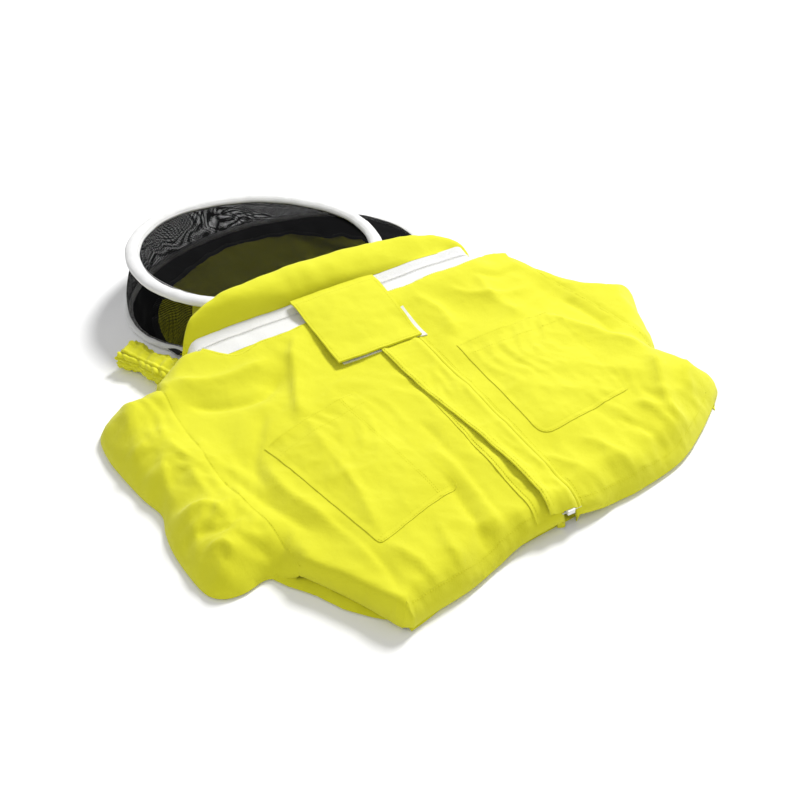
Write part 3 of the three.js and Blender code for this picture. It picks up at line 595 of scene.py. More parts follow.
def triangulate(border, step):
    """Fills a closed border with an even net of triangles. Returns points, faces and the border's places."""
    low, high = border.min(0), border.max(0)
    rows = np.arange(low[1], high[1] + step, step * 0.866)
    grid = np.array([(x + (j % 2) * step / 2, y) for j, y in enumerate(rows)
                     for x in np.arange(low[0], high[0] + step, step)])
    grid = grid[inside(grid, border)]
    loop = np.vstack([border, border[:1]])
    grid = grid[nearest(grid, loop)[0] > step * 0.55]
    points = np.vstack([border, grid])
    count = len(border)
    verts, _, faces, origin, _, _ = geometry.delaunay_2d_cdt(
        [Vector(p) for p in points], [], [list(range(count))], 1, 1e-4)
    place = {}
    for new, olds in enumerate(origin):
        for old in olds:
            place[old] = new
    flat = np.array([tuple(v) for v in verts])
    fixed = []
    for f in faces:
        a, b, c = flat[f[0]], flat[f[1]], flat[f[2]]
        turn = (b[0] - a[0]) * (c[1] - a[1]) - (b[1] - a[1]) * (c[0] - a[0])
        fixed.append(tuple(f) if turn > 0 else tuple(reversed(f)))
    return flat, fixed, [place[i] for i in range(count)]


def cloth_panel(name, segments, height, body, slot, material, nodes=(), step=4.5, thickness=1.3, skirt=(),
                held="laid", rests_on=(), uv=False):
    """A panel cut to its segments: (path, rolled) pairs around it. Rolled edges turn down and under."""
    border, rolled = [], []
    for path, roll in segments:
        points = resample(np.array(path)[:, :2], step)
        border.extend(points[:-1])
        rolled.extend([roll] * (len(points) - 1))
    border = np.array(border)
    area = 0.5 * np.sum(border[:, 0] * np.roll(border[:, 1], -1) - np.roll(border[:, 0], -1) * border[:, 1])
    if area < 0:
        border = border[::-1].copy()
        rolled = [rolled[(len(rolled) - 2 - i) % len(rolled)] for i in range(len(rolled))]
    flat, faces, ring = triangulate(border, step)
    points = np.c_[flat, height(flat)]
    if skirt:
        count = len(border)
        tangent = np.roll(border, -1, axis=0) - np.roll(border, 1, axis=0)
        tangent /= np.linalg.norm(tangent, axis=1, keepdims=True)
        inward = np.c_[-tangent[:, 1], tangent[:, 0]]
        rows = [list(ring)]
        extra = []
        for inset, drop in skirt:
            start = len(points) + len(extra)
            for i in range(count):
                base = points[ring[i]]
                extra.append((base[0] + inward[i, 0] * inset, base[1] + inward[i, 1] * inset,
                              max(FLOOR_LEVEL, base[2] - drop)))
            rows.append(list(range(start, start + count)))
        points = np.vstack([points, extra])
        used = set()
        for upper, lower in zip(rows[:-1], rows[1:]):
            for i in range(count):
                if rolled[i]:
                    j = (i + 1) % count
                    faces.append((upper[j], upper[i], lower[i], lower[j]))
                    used.update((upper[j], upper[i], lower[i], lower[j]))
        keep = sorted(set(range(len(flat))) | used)
        index = {old: new for new, old in enumerate(keep)}
        points = points[keep]
        faces = [tuple(index[i] for i in f) for f in faces]
    solid, solid_faces = thicken(points, faces, thickness)
    piece = add_mesh(name, solid, solid_faces, material, body, uv=solid[:, :2] if uv else None, nodes=nodes)
    profile = np.array([(0.0, 0.0), *skirt])
    following = np.roll(border, -1, axis=0) - border
    turned = float(np.linalg.norm(following, axis=1)[np.array(rolled, bool)].sum())
    cut, area = cut_of(border, length_of(profile), turned)
    return declare(piece, cut, area)


def grid_faces(rows, count, wrap=True, turned=False):
    """Quads between rows of count points each. wrap joins the last point of a row to its first."""
    faces = []
    for i in range(rows - 1):
        for k in range(count if wrap else count - 1):
            a, n = i * count, (k + 1) % count
            quad = (a + k, a + n, a + count + n, a + count + k)
            faces.append(quad[::-1] if turned else quad)
    return faces


def four_sided(name, corners, height, body, slot, material, **more):
    """A panel with four straight sides, none of them rolled."""
    c = np.array([*corners, corners[0]], float)
    cloth_panel(name, [(c[i:i + 2], False) for i in range(4)], height, body, slot, material, **more)


def tube_faces(rings, around, closed):
    faces = []
    last = rings if closed else rings - 1
    for i in range(last):
        a, b = i * around, ((i + 1) % rings) * around
        for k in range(around):
            n = (k + 1) % around
            faces.append((a + k, a + n, b + n, b + k))
    if not closed:
        faces.append(tuple(reversed(range(around))))
        faces.append(tuple(range((rings - 1) * around, rings * around)))
    return faces


def strip_tube(path, sections, closed=False):
    """A tube along a 3-D path: at each point the section's (across, up) values."""
    path = np.array(path, float)
    if closed:
        tangent = np.roll(path, -1, axis=0) - np.roll(path, 1, axis=0)
    else:
        tangent = np.gradient(path, axis=0)
    tangent /= np.linalg.norm(tangent, axis=1, keepdims=True)
    across = np.cross(tangent, (0, 0, 1.0))
    across /= np.maximum(np.linalg.norm(across, axis=1, keepdims=True), 1e-9)
    up = np.cross(across, tangent)
    sections = np.array(sections, float)
    if sections.ndim == 2:
        sections = np.repeat(sections[None], len(path), axis=0)
    points = path[:, None] + sections[:, :, :1] * across[:, None] + sections[:, :, 1:] * up[:, None]
    return points.reshape(-1, 3), tube_faces(len(path), sections.shape[1], closed)


def oval(width, height, count=12, turn=0.0):
    t = np.linspace(0, 2 * math.pi, count, endpoint=False) + turn
    return np.c_[np.cos(t) * width / 2, np.sin(t) * height / 2]


def stitches(name, paths, material, body, pitch=3.4, length=2.5, radius=0.3, lift=0.05, surface=None):
    """Rows of short threads that lie on a surface, or on the paths' own heights."""
    points, faces = [], []
    for path in paths:
        path = np.array(path, float)
        if surface is not None:
            path = np.c_[path[:, :2], np.zeros(len(path))]
        even = resample(path, pitch)
        if surface is not None:
            even[:, 2] = surface(even[:, :2])
        step = np.gradient(even, axis=0)
        step /= np.maximum(np.linalg.norm(step, axis=1, keepdims=True), 1e-9)
        for p, t in zip(even[:-1], step[:-1]):
            side = np.cross(t, (0, 0, 1.0))
            side /= max(np.linalg.norm(side), 1e-9)
            up = np.cross(side, t)
            base = len(points)
            for k, (along, size) in enumerate(((0.0, 0.45), (0.25, 1.0), (0.75, 1.0), (1.0, 0.45))):
                centre = p + t * along * length + up * (lift if k in (1, 2) else lift - 0.35)
                for a in range(5):
                    angle = 2 * math.pi * a / 5
                    points.append(centre + (side * math.cos(angle) + up * math.sin(angle)) * radius * size)
            for k in range(3):
                for a in range(5):
                    b = (a + 1) % 5
                    faces.append((base + k * 5 + a, base + k * 5 + b, base + k * 5 + 5 + b, base + k * 5 + 5 + a))
            faces.append(tuple(base + a for a in range(4, -1, -1)))
            faces.append(tuple(base + 15 + a for a in range(5)))
    return add_mesh(name, np.array(points), faces, material, body)


def offset(path, distance):
    """The path moved sideways, to its left for a positive distance."""
    path = np.array(path, float)[:, :2]
    tangent = np.gradient(path, axis=0)
    tangent /= np.maximum(np.linalg.norm(tangent, axis=1, keepdims=True), 1e-9)
    return path + np.c_[-tangent[:, 1], tangent[:, 0]] * distance


def line(*points):
    return np.array(points, float)


# ---- jacket panels -------------------------------------------------------------------------------
SKIRT = [(1.0, 2.5), (3.5, 5.0), (9.0, 6.5), (20.0, 7.0)]
JACKET, COTTON = "jacket", "yellow_cotton"
band_right = offset(HEM_RIGHT, HEM_WIDTH)
band_left = offset(HEM_LEFT, HEM_WIDTH)


def cut_side(path, level_path):
    """Where the side edge meets the hem band's inner line."""
    d = np.hypot(path[:, 0] - level_path[0], path[:, 1] - level_path[1])
    return int(np.argmin(d))


k_right = cut_side(SIDE_RIGHT, band_right[0])
k_left = cut_side(SIDE_LEFT, band_left[-1])
SIDE_RIGHT_UP, SIDE_RIGHT_LOW = SIDE_RIGHT[:k_right + 1], SIDE_RIGHT[k_right:]
SIDE_LEFT_LOW, SIDE_LEFT_UP = SIDE_LEFT[:k_left + 1], SIDE_LEFT[k_left:]
band_right[0] = SIDE_RIGHT[k_right]
band_left[-1] = SIDE_LEFT[k_left]


def zip_local(points):
    """How far each point lies across and along the front zip, from its upper end."""
    rel_x = points[:, 0] - ZIP_TOP[0]
    rel_y = points[:, 1] - ZIP_TOP[1]
    c, s = math.cos(ZIP_LEAN), math.sin(ZIP_LEAN)
    return rel_x * c - rel_y * s, rel_x * s + rel_y * c


def front_height(points):
    """The upper surface, turned down at the two edges of the zip's groove."""
    z = cloth_top(points)
    across, _ = zip_local(points)
    u = np.clip((np.abs(across) - HALF_GROOVE) / 4.0, 0, 1)
    return z - 9.0 * (1 - np.sqrt(np.clip(1 - (1 - u) ** 2, 0, 1))) * (u < 1)


cloth_panel("front_panel_right_cloth", [
    (band_right, False), (line(band_right[-1], NECK_RIGHT_EDGE[0]), True), (NECK_RIGHT_EDGE, True),
    (SHOULDER_RIGHT, True), (ARMHOLE_RIGHT, False), (SIDE_RIGHT_UP, True),
], front_height, JACKET, COTTON, YELLOW, nodes=["front_panel_right"], skirt=SKIRT, rests_on=["back_panel"])
cloth_panel("front_panel_left_cloth", [
    (band_left, False), (SIDE_LEFT_UP, True), (ARMHOLE_LEFT, False), (SHOULDER_LEFT, True),
    (NECK_LEFT_EDGE, True), (line(NECK_LEFT_EDGE[-1], band_left[0]), True),
], front_height, JACKET, COTTON, YELLOW, nodes=["front_panel_left"], skirt=SKIRT, rests_on=["back_panel"])
for side, sleeve, armhole in (("right", SLEEVE_RIGHT, ARMHOLE_RIGHT), ("left", SLEEVE_LEFT, ARMHOLE_LEFT)):
    cloth_panel(f"sleeve_{side}_cloth", [(sleeve, True), (armhole[::-1], False)], cloth_top, JACKET, COTTON, YELLOW,
                nodes=[f"sleeve_{side}"], skirt=SKIRT, held="folded", rests_on=["back_panel"])


SMALL_SKIRT = [(1.0, 1.5), (3.0, 2.6), (6.0, 3.2), (9.0, 3.4)]
cloth_panel("hem_band_right_cloth", [
    (HEM_RIGHT, True), (line(HEM_RIGHT[-1], band_right[-1]), True), (band_right[::-1], False), (SIDE_RIGHT_LOW, True),
], front_height, JACKET, COTTON, YELLOW, nodes=["hem_band_right", "hem_elastic_right"], step=3.6, skirt=SMALL_SKIRT,
    held="gathered", rests_on=["hem_band_back"])
cloth_panel("hem_band_left_cloth", [
    (HEM_LEFT, True), (SIDE_LEFT_LOW, True), (band_left[::-1], False), (line(band_left[0], HEM_LEFT[0]), True),
], front_height, JACKET, COTTON, YELLOW, nodes=["hem_band_left", "hem_elastic_left"], step=3.6, skirt=SMALL_SKIRT,
    held="gathered", rests_on=["hem_band_back"])

# ---- back panel and its hem band -----------------------------------------------------------------
band_back = offset(HEM_BACK, HEM_WIDTH)
BACK_EDGE = [(325, -176), (322, -130), (318, -98), (309, 0), (300, 90), (284, 140), (262, 172), (221, 166), (221, 128)]
BACK_FAR = [(-201, 128), (-203, 168), (-262, 148), (-278, 112), (-279, -30), (-278, -160), (-259, -198), (-242, -222),
            (-226, -256), (-203, -285)]
BACK_LOOP = np.vstack([HEM_BACK, BACK_EDGE, BACK_FAR])


def back_height(points):
    x, y = points.T
    raised = np.maximum(step_between(-x, 150, 172) * step_between(y, -186, -166),
                        step_between(x, 92, 110) * step_between(y, -98, -80))
    z = 7.0 + 8.5 * raised + 1.2 * perlin(x / 30, y / 30, 31) + 0.8 * hem_ripple(points, HEM_BACK, 23)
    d = nearest(points, np.vstack([BACK_LOOP, BACK_LOOP[:1]]))[0]
    u = np.clip(d / 9.0, 0, 1)
    return np.maximum(1.6, 2.4 + (z - 2.4) * np.sqrt(np.clip(1 - (1 - u) ** 2, 0, 1)))


BACK_SKIRT = [(1.0, 1.0), (6.0, 1.4)]
cloth_panel("back_panel_cloth", [
    (band_back, False), (np.vstack([band_back[-1:], BACK_EDGE]), True), (line(BACK_EDGE[-1], BACK_FAR[0]), False),
    (np.vstack([BACK_FAR, band_back[:1]]), True),
], back_height, JACKET, COTTON, YELLOW, nodes=["back_panel"], step=8.0, skirt=BACK_SKIRT)
cloth_panel("hem_band_back_cloth", [
    (HEM_BACK, True), (line(HEM_BACK[-1], band_back[-1]), True), (band_back[::-1], False),
    (line(band_back[0], HEM_BACK[0]), True),
], back_height, JACKET, COTTON, YELLOW, nodes=["hem_band_back", "hem_elastic_back"], step=4.0, skirt=BACK_SKIRT,
    held="gathered")


# ---- pockets -------------------------------------------------------------------------------------
def rounded(corners, radii, steps=6):
    """A corner path with its corners rounded to the radii."""
    corners = np.array(corners, float)
    out = []
    for i, (c, r) in enumerate(zip(corners, radii)):
        a, b = corners[i - 1], corners[(i + 1) % len(corners)]
        if r == 0:
            out.append(c)
            continue
        p = c + (a - c) / np.linalg.norm(a - c) * r
        q = c + (b - c) / np.linalg.norm(b - c) * r
        for t in np.linspace(0, 1, steps):
            out.append((1 - t) ** 2 * p + 2 * t * (1 - t) * c + t * t * q)
    return np.array(out)


def add_pocket(side, corners, radii, bulge):
    """A patch pocket, sewn on three sides and open at the top, and its rows of topstitch."""
    tl, tr, br, bl = (np.array(c, float) for c in corners)
    sewn = rounded([tl, bl, br, tr], [0, radii[0], radii[1], 0])
    mouth = np.vstack([tr, tl])

    def height(points):
        z = cloth_top(points)
        d = nearest(points, sewn)[0]
        top = nearest(points, mouth)[0]
        puff = bulge * (1 - np.exp(-(d / 20.0) ** 2))
        lip = 1.6 * np.exp(-(top / 9.0) ** 2) * step_between(d, 2, 24)
        fold = 0.35 * (0.4 - np.abs(perlin(points[:, 0] / 22, points[:, 1] / 30, 41)) * 1.6) * step_between(d, 2, 16)
        return z + 1.0 + puff + lip + fold - 0.5 * np.exp(-((d - 7.0) / 2.0) ** 2)

    name = f"pocket_{side}_cloth"
    cloth_panel(name, [(sewn, False), (mouth, False)], height, JACKET, COTTON, YELLOW,
                nodes=[f"pocket_{side}"], step=3.4, thickness=1.3, rests_on=[f"front_panel_{side}_cloth"])
    rows = [offset(sewn, 2.0)[1:-1], offset(sewn, 7.5)[2:-2]]
    if np.cross(bl - tl, br - bl) < 0:
        rows = [offset(sewn, -2.0)[1:-1], offset(sewn, -7.5)[2:-2]]
    down = (bl - tl) / np.linalg.norm(bl - tl)
    for inset in (2.5, 24.0):
        rows.append(np.vstack([tl + down * inset + (tr - tl) * 0.03, tr + down * inset - (tr - tl) * 0.03]))
    return rows, height


rows, height_right = add_pocket("right", [(-196, -30), (-60, 4), (-46, -192), (-165, -227)], (7, 5), 2.0)
pen = np.vstack([[-61 - 25, -6], [-47 - 25, -200]])
stitches("pocket_right_topstitch", rows + [pen, pen + (2.8, 0)], YELLOW_THREAD, JACKET, surface=height_right)
rows, height_left = add_pocket("left", [(90, 14), (232, 10), (218, -162), (78, -179)], (22, 10), 2.0)
stitches("pocket_left_topstitch", rows, YELLOW_THREAD, JACKET, surface=height_left)

# ---- front zip, placket strip and storm flap -----------------------------------------------------
FLAP_RIGHT, FLAP_TOP, FLAP_END = 10.0, -64.0, -403.0
STRIP_LEFT = -38.0


def free_edge(along):
    """How far the storm flap reaches past the zip: less towards the hem."""
    t = (FLAP_TOP - along) / (FLAP_TOP - FLAP_END)
    return -43.0 + 17.0 * t + 4.0 * np.sin(math.pi * t) - 3.0 * np.sin(2 * math.pi * t)


def flap_height(points):
    across, along = zip_local(points)
    past = across - free_edge(along)
    free = 1 - step_between(past, 0, 18)
    gape = step_between(-along, 150, 400)
    puff = 1.2 * np.exp(-((past - 3) / 3.0) ** 2)
    wave = 0.7 * perlin(along / 34, across / 60, 51) + 1.2 * gape * perlin(along / 26, across / 40, 52)
    seam = -1.6 * np.exp(-((across - FLAP_RIGHT) / 2.5) ** 2) + 0.9 * np.exp(-((across - FLAP_RIGHT + 6) / 4) ** 2)
    return cloth_top(points) + 2.9 + free * (0.6 + 5.0 * gape) + puff + wave + seam


def strip_height(points):
    across, _ = zip_local(points)
    edge = np.exp(-((across - STRIP_LEFT) / 2.5) ** 2)
    return front_height(points) + 1.4 - 0.7 * edge


strip_corners = [on_zip(-36, FLAP_TOP), on_zip(STRIP_LEFT - 5, -402), on_zip(-7.6, -402), on_zip(-7.6, FLAP_TOP)]
four_sided("placket_strip_cloth", strip_corners, strip_height, JACKET, COTTON, YELLOW,
           nodes=["placket_strip"], step=3.6, thickness=1.0, rests_on=["front_panel_right_cloth"])
flap_rows = np.linspace(FLAP_TOP, FLAP_END, 60)
flap_edge = np.array([on_zip(free_edge(v), v) for v in flap_rows])
cloth_panel("storm_flap_cloth", [
    (flap_edge, False), (line(flap_edge[-1], on_zip(FLAP_RIGHT, FLAP_END)), False),
    (line(on_zip(FLAP_RIGHT, FLAP_END), on_zip(FLAP_RIGHT, FLAP_TOP)), False),
    (line(on_zip(FLAP_RIGHT, FLAP_TOP), flap_edge[0]), False)], flap_height, "storm_flap_body", COTTON,
           YELLOW, nodes=["storm_flap"], step=3.0, thickness=2.4, held="hung", rests_on=["front_panel_left_cloth"])
stitches("storm_flap_topstitch", [
    offset(flap_edge, 2.5)[1:-1], offset(flap_edge, 8.0)[1:-1],
], YELLOW_THREAD, "storm_flap_body", surface=flap_height)
seam = resample(line(on_zip(12.2, FLAP_TOP), on_zip(12.2, -402)), 4)
seam_path = np.c_[seam, cloth_top(seam) + 0.2]
points, faces = strip_tube(seam_path, oval(5.0, 2.6, 10))
add_mesh("storm_flap_welt", points, faces, YELLOW, JACKET, nodes=["storm_flap_seam"])
stitches("placket_topstitch", [
    line(on_zip(18, -10), on_zip(18, -400)), line(on_zip(STRIP_LEFT + 4, -80), on_zip(STRIP_LEFT, -398)),
], YELLOW_THREAD, JACKET, surface=lambda p: front_height(p) + np.where(zip_local(p)[0] < 0, 1.4, 0))

for side, sign in (("right", -1), ("left", 1)):
    inner, outer = 0.7 * sign, 15.0 * sign
    rows_y = np.linspace(1.5, -402, 90)
    columns = np.linspace(inner, outer, 7)
    grid = np.array([[*on_zip(c, v), TAPE_HEIGHT + 0.25 * math.sin(v * 0.9) * (k / 6)]
                     for v in rows_y for k, c in enumerate(columns)])
    faces = []
    for i in range(len(rows_y) - 1):
        for k in range(6):
            a = i * 7 + k
            quad = (a, a + 7, a + 8, a + 1)
            faces.append(quad if sign > 0 else tuple(reversed(quad)))
    solid, solid_faces = thicken(grid, faces, 1.0)
    tape = add_mesh(f"front_zip_tape_{side}_cloth", solid, solid_faces, WHITE, JACKET,
                    nodes=[f"front_zip_tape_{side}"])
    declare(tape, (0.0143, 0.4035))
    stitches(f"front_zip_tape_{side}_stitch", [
        np.c_[line(on_zip(9.5 * sign, 0), on_zip(9.5 * sign, -400)), [THREAD_HEIGHT, THREAD_HEIGHT]],
    ], WHITE_THREAD, JACKET)


def coil(name, path, ups, acrosses, node, body=JACKET):
    """Zip teeth: one loop of the coil after another along the path."""
    points, faces = [], []
    section = oval(1.1, 1.1, 6)
    bow = [(-1.15, 0.1), (-1.0, 1.3), (-0.2, 1.85), (0.7, 1.5), (1.15, 0.5)]
    for p, up, across in zip(path, ups, acrosses):
        along = np.cross(across, up)
        base = len(points)
        for u, v in bow:
            for a, b in section:
                points.append(p + across * (u + 0.25 * a) + up * (v + 0.45 * b) + along * (0.62 * a))
        for f in tube_faces(len(bow), 6, False):
            faces.append(tuple(i + base for i in f))
    return add_mesh(name, np.array(points), faces, PLASTIC, body, nodes=[node])


for side, sign in (("right", -1), ("left", 1)):
    spots = np.array([[*on_zip(1.85 * sign, v), THREAD_HEIGHT] for v in np.arange(0, -390, -2.1)])
    spots[:, :2] += np.array(on_zip(0, -1.05 * (sign > 0))) - np.array(on_zip(0, 0))
    across = np.array([math.cos(ZIP_LEAN), -math.sin(ZIP_LEAN), 0]) * -sign
    coil(f"front_zip_teeth_{side}", spots, [np.array([0, 0, 1.0])] * len(spots), [across] * len(spots),
         f"front_zip_coil_{side}")

# ---- collar and hood zip -------------------------------------------------------------------------
NECK_X, NECK_Z, NECK_STRAIGHT = 10.0, 27.0, 188.0


def stadium(radius, count=260):
    """Points and outward directions around the flattened neck, in x and z."""
    total = 4 * NECK_STRAIGHT + 2 * math.pi * radius
    out = []
    for s in np.linspace(0, total, count, endpoint=False):
        if s < 2 * NECK_STRAIGHT:
            out.append((NECK_X - NECK_STRAIGHT + s, NECK_Z + radius, 0.0, 1.0))
            continue
        s -= 2 * NECK_STRAIGHT
        if s < math.pi * radius:
            a = math.pi / 2 - s / radius
            out.append((NECK_X + NECK_STRAIGHT + radius * math.cos(a), NECK_Z + radius * math.sin(a),
                        math.cos(a), math.sin(a)))
            continue
        s -= math.pi * radius
        if s < 2 * NECK_STRAIGHT:
            out.append((NECK_X + NECK_STRAIGHT - s, NECK_Z - radius, 0.0, -1.0))
            continue
        s -= 2 * NECK_STRAIGHT
        a = -math.pi / 2 - s / radius
        out.append((NECK_X - NECK_STRAIGHT + radius * math.cos(a), NECK_Z + radius * math.sin(a),
                    math.cos(a), math.sin(a)))
    return np.array(out)


def neck_ring(name, radius, y0, y1, rows_count, thickness, material, nodes, puff=0.0):
    base = stadium(radius)
    count = len(base)
    rows_y = np.linspace(y0, y1, rows_count)
    points = []
    for y in rows_y:
        bulge = puff * math.sin(math.pi * (y - y0) / (y1 - y0))
        rise = neck_rise(base[:, 0], np.full(count, y)) * step_between(base[:, 3], 0.2, 1.0)
        points.append(np.c_[base[:, 0] + base[:, 2] * bulge, np.full(count, y),
                            base[:, 1] + base[:, 3] * bulge + rise])
    points = np.vstack(points)
    faces = grid_faces(rows_count, count, turned=True)
    solid, solid_faces = thicken(points, faces, thickness)
    piece = add_mesh(name, solid, solid_faces, material, JACKET, nodes=nodes)
    around = length_of(np.vstack([base[:, :2], base[:1, :2]]))
    return declare(piece, (around * MM, (y1 - y0) * MM))


neck_ring("collar_cloth", 15.6, 126.0, 152.0, 10, 1.6, YELLOW, ["collar"], 0.5)
neck_ring("hood_zip_tape_lower_cloth", 17.0, 138.0, 164.4, 10, 1.0, WHITE, ["hood_zip_tape_lower"])
neck_ring("hood_zip_tape_upper_cloth", 17.0, 165.6, 181.5, 8, 1.0, WHITE, ["hood_zip_tape_upper"])
for half, y, sign, node in (("lower", 163.3, 1, "hood_zip_coil_lower"), ("upper", 166.7, -1, "hood_zip_coil_upper")):
    base = stadium(17.3, 430)
    if half == "upper":
        base = np.roll(base, 1, axis=0) * 0.5 + base * 0.5
        base = base[1:]
    rise = neck_rise(base[:, 0], np.full(len(base), y)) * step_between(base[:, 3], 0.2, 1.0)
    spots = np.c_[base[:, 0], np.full(len(base), y), base[:, 1] + rise]
    ups = np.c_[base[:, 2], np.zeros(len(base)), base[:, 3]]
    coil(f"hood_zip_teeth_{half}", spots, ups, [np.array([0, -1.0 * sign, 0])] * len(base), node)
top_x = np.linspace(-176, 196, 190)
for name, y in (("hood_zip_stitch_lower", 157.0), ("hood_zip_stitch_upper", 173.0)):
    z = NECK_Z + 17.1 + neck_rise(top_x, np.full(len(top_x), y))
    stitches(name, [np.c_[top_x, np.full(len(top_x), y), z]], WHITE_THREAD, JACKET, pitch=3.0, length=2.2)

# ---- neckband ------------------------------------------------------------------------------------
BAND_Y = 183.0
BAND_CUT = 72.0  # the strip's width before it is rolled over, mm
CREST = spline([(-204, 172, 22), (-198, 178, 38), (-188, 186, 56), (-174, 194, 70), (-150, 200, 79), (-118, 207, 82),
                (-64, 214, 81), (-12, 218, 80), (65, 222, 74), (130, 219, 67), (175, 214, 60), (200, 206, 52),
                (216, 192, 42), (222, 180, 30)], 7)


def add_neckband():
    """The hood's yellow bib: up from the zip, over in a soft roll, and down behind the veil's near rim."""
    stations = len(CREST)
    across = 26
    points = []
    for i, (cx, cy, cz) in enumerate(CREST):
        t = i / (stations - 1)
        fx = -190 + (208 + 190) * t
        lean = 16 * (step_between(np.array([0.12 - t]), 0, 0.12)[0]
                     + step_between(np.array([t - 0.9]), 0, 0.1)[0])
        rise = float(neck_rise(np.array([fx]), np.array([BAND_Y]))[0])
        foot = np.array([fx, BAND_Y - 2.0 - lean, NECK_Z + 18.0 - 0.9 * lean + rise])
        crest = np.array([cx, cy, cz])
        end_taper = min(1.0, 6 * t, 6 * (1 - t)) ** 0.5
        tail = crest + np.array([0, 7.0 * end_taper, -24.0 * end_taper - 2])
        knots = [foot, foot + (crest - foot) * (0.12, 0.16, 0.46), foot + (crest - foot) * (0.55, 0.55, 0.88),
                 crest + (0, -2.0, 0.2), crest + (0, 4.5 * end_taper, -3.0 * end_taper - 1),
                 tail]
        curve = resample(spline(knots, 6)[:, [1, 2, 0]], 1)[:, [2, 0, 1]]
        at = np.linspace(0, 1, across)
        base = np.linspace(0, 1, len(curve))
        row = np.stack([np.interp(at, base, curve[:, k]) for k in range(3)], 1)
        gather = 1.2 * perlin(row[:, 0] / 13, row[:, 1] / 60, 71) + 1.4 * perlin(row[:, 0] / 34, row[:, 1] / 40, 72)
        row[:, 2] += gather * np.sin(math.pi * np.clip(at, 0, 1)) * 1.1
        points.extend(row)
    points = np.array(points)
    faces = []
    for i in range(stations - 1):
        for k in range(across - 1):
            a = i * across + k
            faces.append((a, a + across, a + across + 1, a + 1))
    solid, solid_faces = thicken(points, faces, 1.4)
    piece = add_mesh("neckband_front_cloth", solid, solid_faces, YELLOW, JACKET, nodes=["neckband_front"])
    return declare(piece, (length_of(CREST) * MM, BAND_CUT * MM))


add_neckband()


def back_band_height(points):
    t = (points[:, 1] - 178) / 38
    return 11.5 - 8.0 * t + 1.2 * perlin(points[:, 0] / 26, points[:, 1] / 20, 73)


four_sided("neckband_back_cloth", [(-157, 178), (153, 178), (153, 217), (-157, 217)], back_band_height, JACKET,
           COTTON, YELLOW, nodes=["neckband_back"], step=6.0)

# ---- neck flap with hook-and-loop ----------------------------------------------------------------
PIVOT_Y, PIVOT_Z, FLAP_SLOPE = 176.6, 57.0, math.radians(7.7)


def neck_flap_height(points):
    x, y = points.T
    down = PIVOT_Y - y
    z = PIVOT_Z + 1.2 - down * math.tan(FLAP_SLOPE)
    left = step_between(-x, -10, 51) * step_between(down, 40, 122)
    rear_roll = -2.6 * np.exp(-(down / 9.0) ** 2)
    seat = step_between(down, 40, 118)
    z = z * (1 - seat) + (cloth_top(points) + 4.4) * seat
    return (z + 4.0 * left + rear_roll * (1 - seat) + 2.2 * np.sin(math.pi * (x + 51) / 119)
            + 0.9 * perlin(x / 34, y / 34, 81) + 0.4 * perlin(x / 13, y / 13, 82))


four_sided("neck_flap_cloth", [(-52, 53.5), (66, 55), (69, 178), (-50, 179)], neck_flap_height, "neck_flap_body",
           COTTON, YELLOW, nodes=["neck_flap"], step=3.2, thickness=2.6, held="hung",
           rests_on=["neckband_front_cloth"])
stitches("neck_flap_topstitch", [
    line((-47, 172), (-48.5, 57.5), (62.5, 58.5), (64.5, 172)), line((-47, 168), (64, 168)),
], YELLOW_THREAD, "neck_flap_body", surface=neck_flap_height)


def hooks_height(points):
    return neck_flap_height(points) - 2.9


four_sided("neck_flap_hooks_cloth", [(-45, 60.5), (62, 60.5), (62, 108.5), (-45, 108.5)], hooks_height,
           "neck_flap_body", "white_tape", WHITE, nodes=["neck_flap_hooks"], step=4.0, thickness=1.2,
           held="stretched", rests_on=["neck_flap_cloth"])


for side, x0, x1 in (("right", -44, 41), ("left", 59, 73)):
    four_sided(f"loop_patch_{side}_cloth", [(x0, 56), (x1, 53), (x1, 110), (x0, 110)],
               lambda p: cloth_top(p) + 1.6, JACKET, "white_tape", WHITE, nodes=[f"loop_patch_{side}"],
               step=3.6, thickness=1.6, held="stretched", rests_on=[f"front_panel_{side}_cloth"])

# ---- armhole, hem and shoulder stitching ---------------------------------------------------------
stitches("body_topstitch", [
    offset(ARMHOLE_RIGHT, 2.0), offset(ARMHOLE_LEFT, 2.0),
    offset(band_right, -1.5)[1:-1], offset(band_left, -1.5)[1:-1],
    offset(NECK_RIGHT_EDGE, 4.0)[1:-1], offset(NECK_LEFT_EDGE, 4.0)[1:-1],
], YELLOW_THREAD, JACKET, surface=front_height)


# ---- cuffs ---------------------------------------------------------------------------------------
CUFF_ROUND = 1.74  # the way round a flattened tube, for each mm of its width and height together
CUFF_GATHER = 1.2  # the cuff is cut this much wider than the opening that its elastic draws it to


